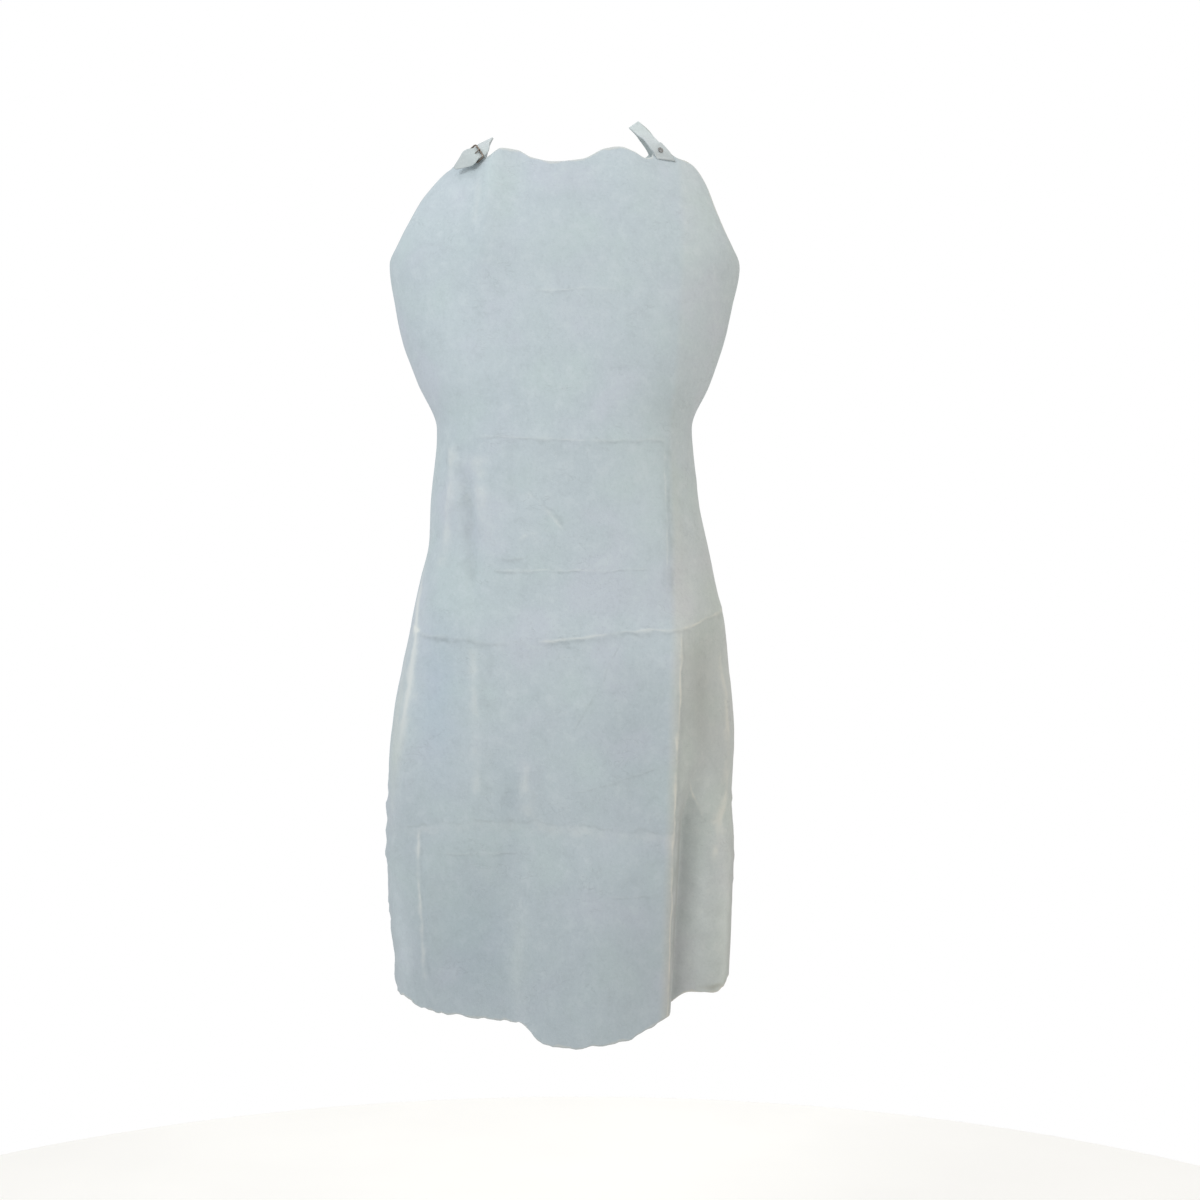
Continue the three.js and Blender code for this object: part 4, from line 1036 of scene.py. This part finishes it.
def thread(name, base, dark):
    k = Nodes(name)
    co = k.add("ShaderNodeTexCoord").outputs["Object"]
    w = k.add("ShaderNodeTexWave", bands_direction="DIAGONAL")
    w.inputs["Scale"].default_value = 900.0
    w.inputs["Distortion"].default_value = 2.0
    k.link(co, w.inputs["Vector"])
    k.link(k.mix(w.outputs["Fac"], dark, base), k.bsdf.inputs["Base Color"])
    k.set(Roughness=0.8)
    return k.m


M_BODY = suede("suede_body", (0.463, 0.531, 0.577), (0.438, 0.505, 0.551), (0.512, 0.577, 0.618), (0.453, 0.535, 0.561), (0.474, 0.522, 0.588), body=True)
M_STRAP = suede("suede_strap", (0.485, 0.535, 0.558), (0.455, 0.505, 0.530), (0.540, 0.588, 0.606), (0.478, 0.538, 0.546), (0.495, 0.526, 0.568))
M_TAB = suede("suede_tab", (0.470, 0.520, 0.543), (0.440, 0.490, 0.512), (0.522, 0.566, 0.584), (0.462, 0.520, 0.530), (0.480, 0.510, 0.552))
M_DARK = metal("bronzed_wire", (0.17, 0.14, 0.12), (0.38, 0.345, 0.31), 0.32, 0.55)
M_RIVET = metal("dull_nickel", (0.30, 0.30, 0.305), (0.15, 0.15, 0.15), 0.4, 0.65)
M_THREAD = thread("sewing_thread", (0.55, 0.57, 0.58), (0.38, 0.40, 0.41))

body = build_body(M_BODY)
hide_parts("apron_body")
strap = build_neck_strap(M_STRAP)
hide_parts("neck_strap")
buckle = build_frame(M_DARK)
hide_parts("neck_buckle")
prong = build_prong(M_DARK)
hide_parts("buckle_prong")
tab = build_tab(M_TAB)
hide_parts("buckle_tab")
rivet = build_rivet(M_RIVET)
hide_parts("neck_rivet")
waist, waist_st = build_waist_strap(M_STRAP)
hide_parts("waist_strap")


def waist_stitches():
    rows = []
    lead = np.concatenate([[0], np.cumsum([np.linalg.norm(waist_st[i + 1][0] - waist_st[i][0]) for i in range(len(waist_st) - 1)])])
    total = lead[-1]

    def on(l, w):
        i = int(np.clip(np.searchsorted(lead, l) - 1, 0, len(lead) - 2))
        f = (l - lead[i]) / (lead[i + 1] - lead[i])
        p = waist_st[i][0] * (1 - f) + waist_st[i + 1][0] * f
        face = unit(waist_st[i][1] * (1 - f) + waist_st[i + 1][1] * f)
        return p + np.array([0, 0, w]) + face * (STRAP_T / 2 + 0.12), face

    for ends in ((3.0, 25.0), (total - 25.0, total - 3.0)):
        for w in (-7.2, 7.2):
            l = ends[0]
            while l + 2.4 <= ends[1]:
                a, face = on(l, w)
                b, _ = on(l + 2.3, w)
                rows.append((a, b, face))
                l += 3.1
        for l in ends:
            w = -7.2
            while w + 2.4 <= 7.3:
                a, face = on(l, w)
                b, _ = on(l, w + 2.3)
                rows.append((a, b, face))
                w += 3.1
    return rows


stitch_w = build_stitches("waist_stitches", waist_stitches(), 0.38, M_THREAD)


def tab_stitches():
    rows = []
    high = HIDE / 2 + GAP + 0.2 + TAB_T / 2 + TAB_T + GAP + TAB_T / 2 + 0.1
    for s in (-6.6, -8.2):
        w = -6.0
        while w + 2.0 <= 6.2:
            rows.append((at_heel(s, high, w), at_heel(s, high, w + 1.9), heel_face))
            w += 2.7
    return rows


stitch_t = build_stitches("tab_stitches", tab_stitches(), 0.32, M_THREAD)

# ---- stage ----------------------------------------------------------------------------------------

def stage_floor():
    me = bpy.data.meshes.new("floor")
    n, r, z = 96, 1.35, -1.42
    me.from_pydata([(r * math.cos(2 * math.pi * i / n), r * math.sin(2 * math.pi * i / n), z) for i in range(n)], [], [tuple(range(n))])
    k = Nodes("pale_floor")
    co = k.add("ShaderNodeTexCoord").outputs["Object"]
    v = k.noise(co, 3.0, 2.0, 0.5)
    k.link(k.mix(k.span(v, 0.3, 0.7), (0.92, 0.92, 0.92), (0.94, 0.94, 0.94)), k.bsdf.inputs["Base Color"])
    k.set(Roughness=0.9)
    me.materials.append(k.m)
    ob = bpy.data.objects.new("floor", me)
    bpy.context.scene.collection.objects.link(ob)


stage_floor()


def area_light(name, at, aim, size, power, colour=(1, 1, 1)):
    l = bpy.data.lights.new(name, "AREA")
    l.shape = "DISK"
    l.size = size
    l.energy = power
    l.color = colour
    ob = bpy.data.objects.new(name, l)
    ob.location = at
    ob.rotation_euler = (Vector(aim) - Vector(at)).to_track_quat("-Z", "Y").to_euler()
    ob.visible_camera = False
    bpy.context.scene.collection.objects.link(ob)


area_light("overhead", (-0.2, -0.6, 2.0), (-0.1, -0.3, -0.5), 2.4, 14)
area_light("key", (-1.3, -1.7, 0.9), (0, -0.1, -0.3), 1.0, 17, (0.98, 1.0, 1.0))
area_light("fill", (1.6, -1.5, 0.75), (0.05, -0.1, -0.2), 1.2, 11, (1.0, 0.985, 0.97))
area_light("back", (0.2, 2.0, 1.0), (0, 0, -0.5), 1.6, 18)

# pale surroundings: brighter and cooler on one side, dimmer and warmer on the other
w = bpy.data.worlds.new("studio")
bpy.context.scene.world = w
w.use_nodes = True
wt = w.node_tree
wt.nodes.clear()
wo = wt.nodes.new("ShaderNodeOutputWorld")
way = wt.nodes.new("ShaderNodeTexCoord")
xyz = wt.nodes.new("ShaderNodeSeparateXYZ")
wt.links.new(way.outputs["Generated"], xyz.inputs[0])
ramp = wt.nodes.new("ShaderNodeMapRange")
ramp.inputs[1].default_value, ramp.inputs[2].default_value = -1.0, 1.0
ramp.inputs[3].default_value, ramp.inputs[4].default_value = 0.0, 1.0
wt.links.new(xyz.outputs[0], ramp.inputs[0])
tone = wt.nodes.new("ShaderNodeMix")
tone.data_type = "RGBA"
tone.inputs[6].default_value = (0.77, 0.785, 0.79, 1)
tone.inputs[7].default_value = (0.655, 0.615, 0.545, 1)
wt.links.new(ramp.outputs[0], tone.inputs[0])
soft = wt.nodes.new("ShaderNodeBackground")
wt.links.new(tone.outputs[2], soft.inputs[0])
soft.inputs[1].default_value = 1.0
plain = wt.nodes.new("ShaderNodeBackground")
plain.inputs[0].default_value = (1, 1, 1, 1)
plain.inputs[1].default_value = 1.0
ray = wt.nodes.new("ShaderNodeLightPath")
mixer = wt.nodes.new("ShaderNodeMixShader")
wt.links.new(ray.outputs["Is Camera Ray"], mixer.inputs[0])
wt.links.new(soft.outputs[0], mixer.inputs[1])
wt.links.new(plain.outputs[0], mixer.inputs[2])
wt.links.new(mixer.outputs[0], wo.inputs[0])

cam = bpy.data.cameras.new("camera")
cam.sensor_width = 36.0
cam.lens = 36.0 * (2300.0 / 1.14) / 1200.0
cam.clip_end = 60.0
cam_ob = bpy.data.objects.new("camera", cam)
cam_ob.location = (0.0399, -2.372, -0.504)
cam_ob.rotation_euler = (math.pi / 2, 0, 0)
bpy.context.scene.collection.objects.link(cam_ob)
bpy.context.scene.camera = cam_ob
bpy.context.scene.view_settings.view_transform = "Standard"
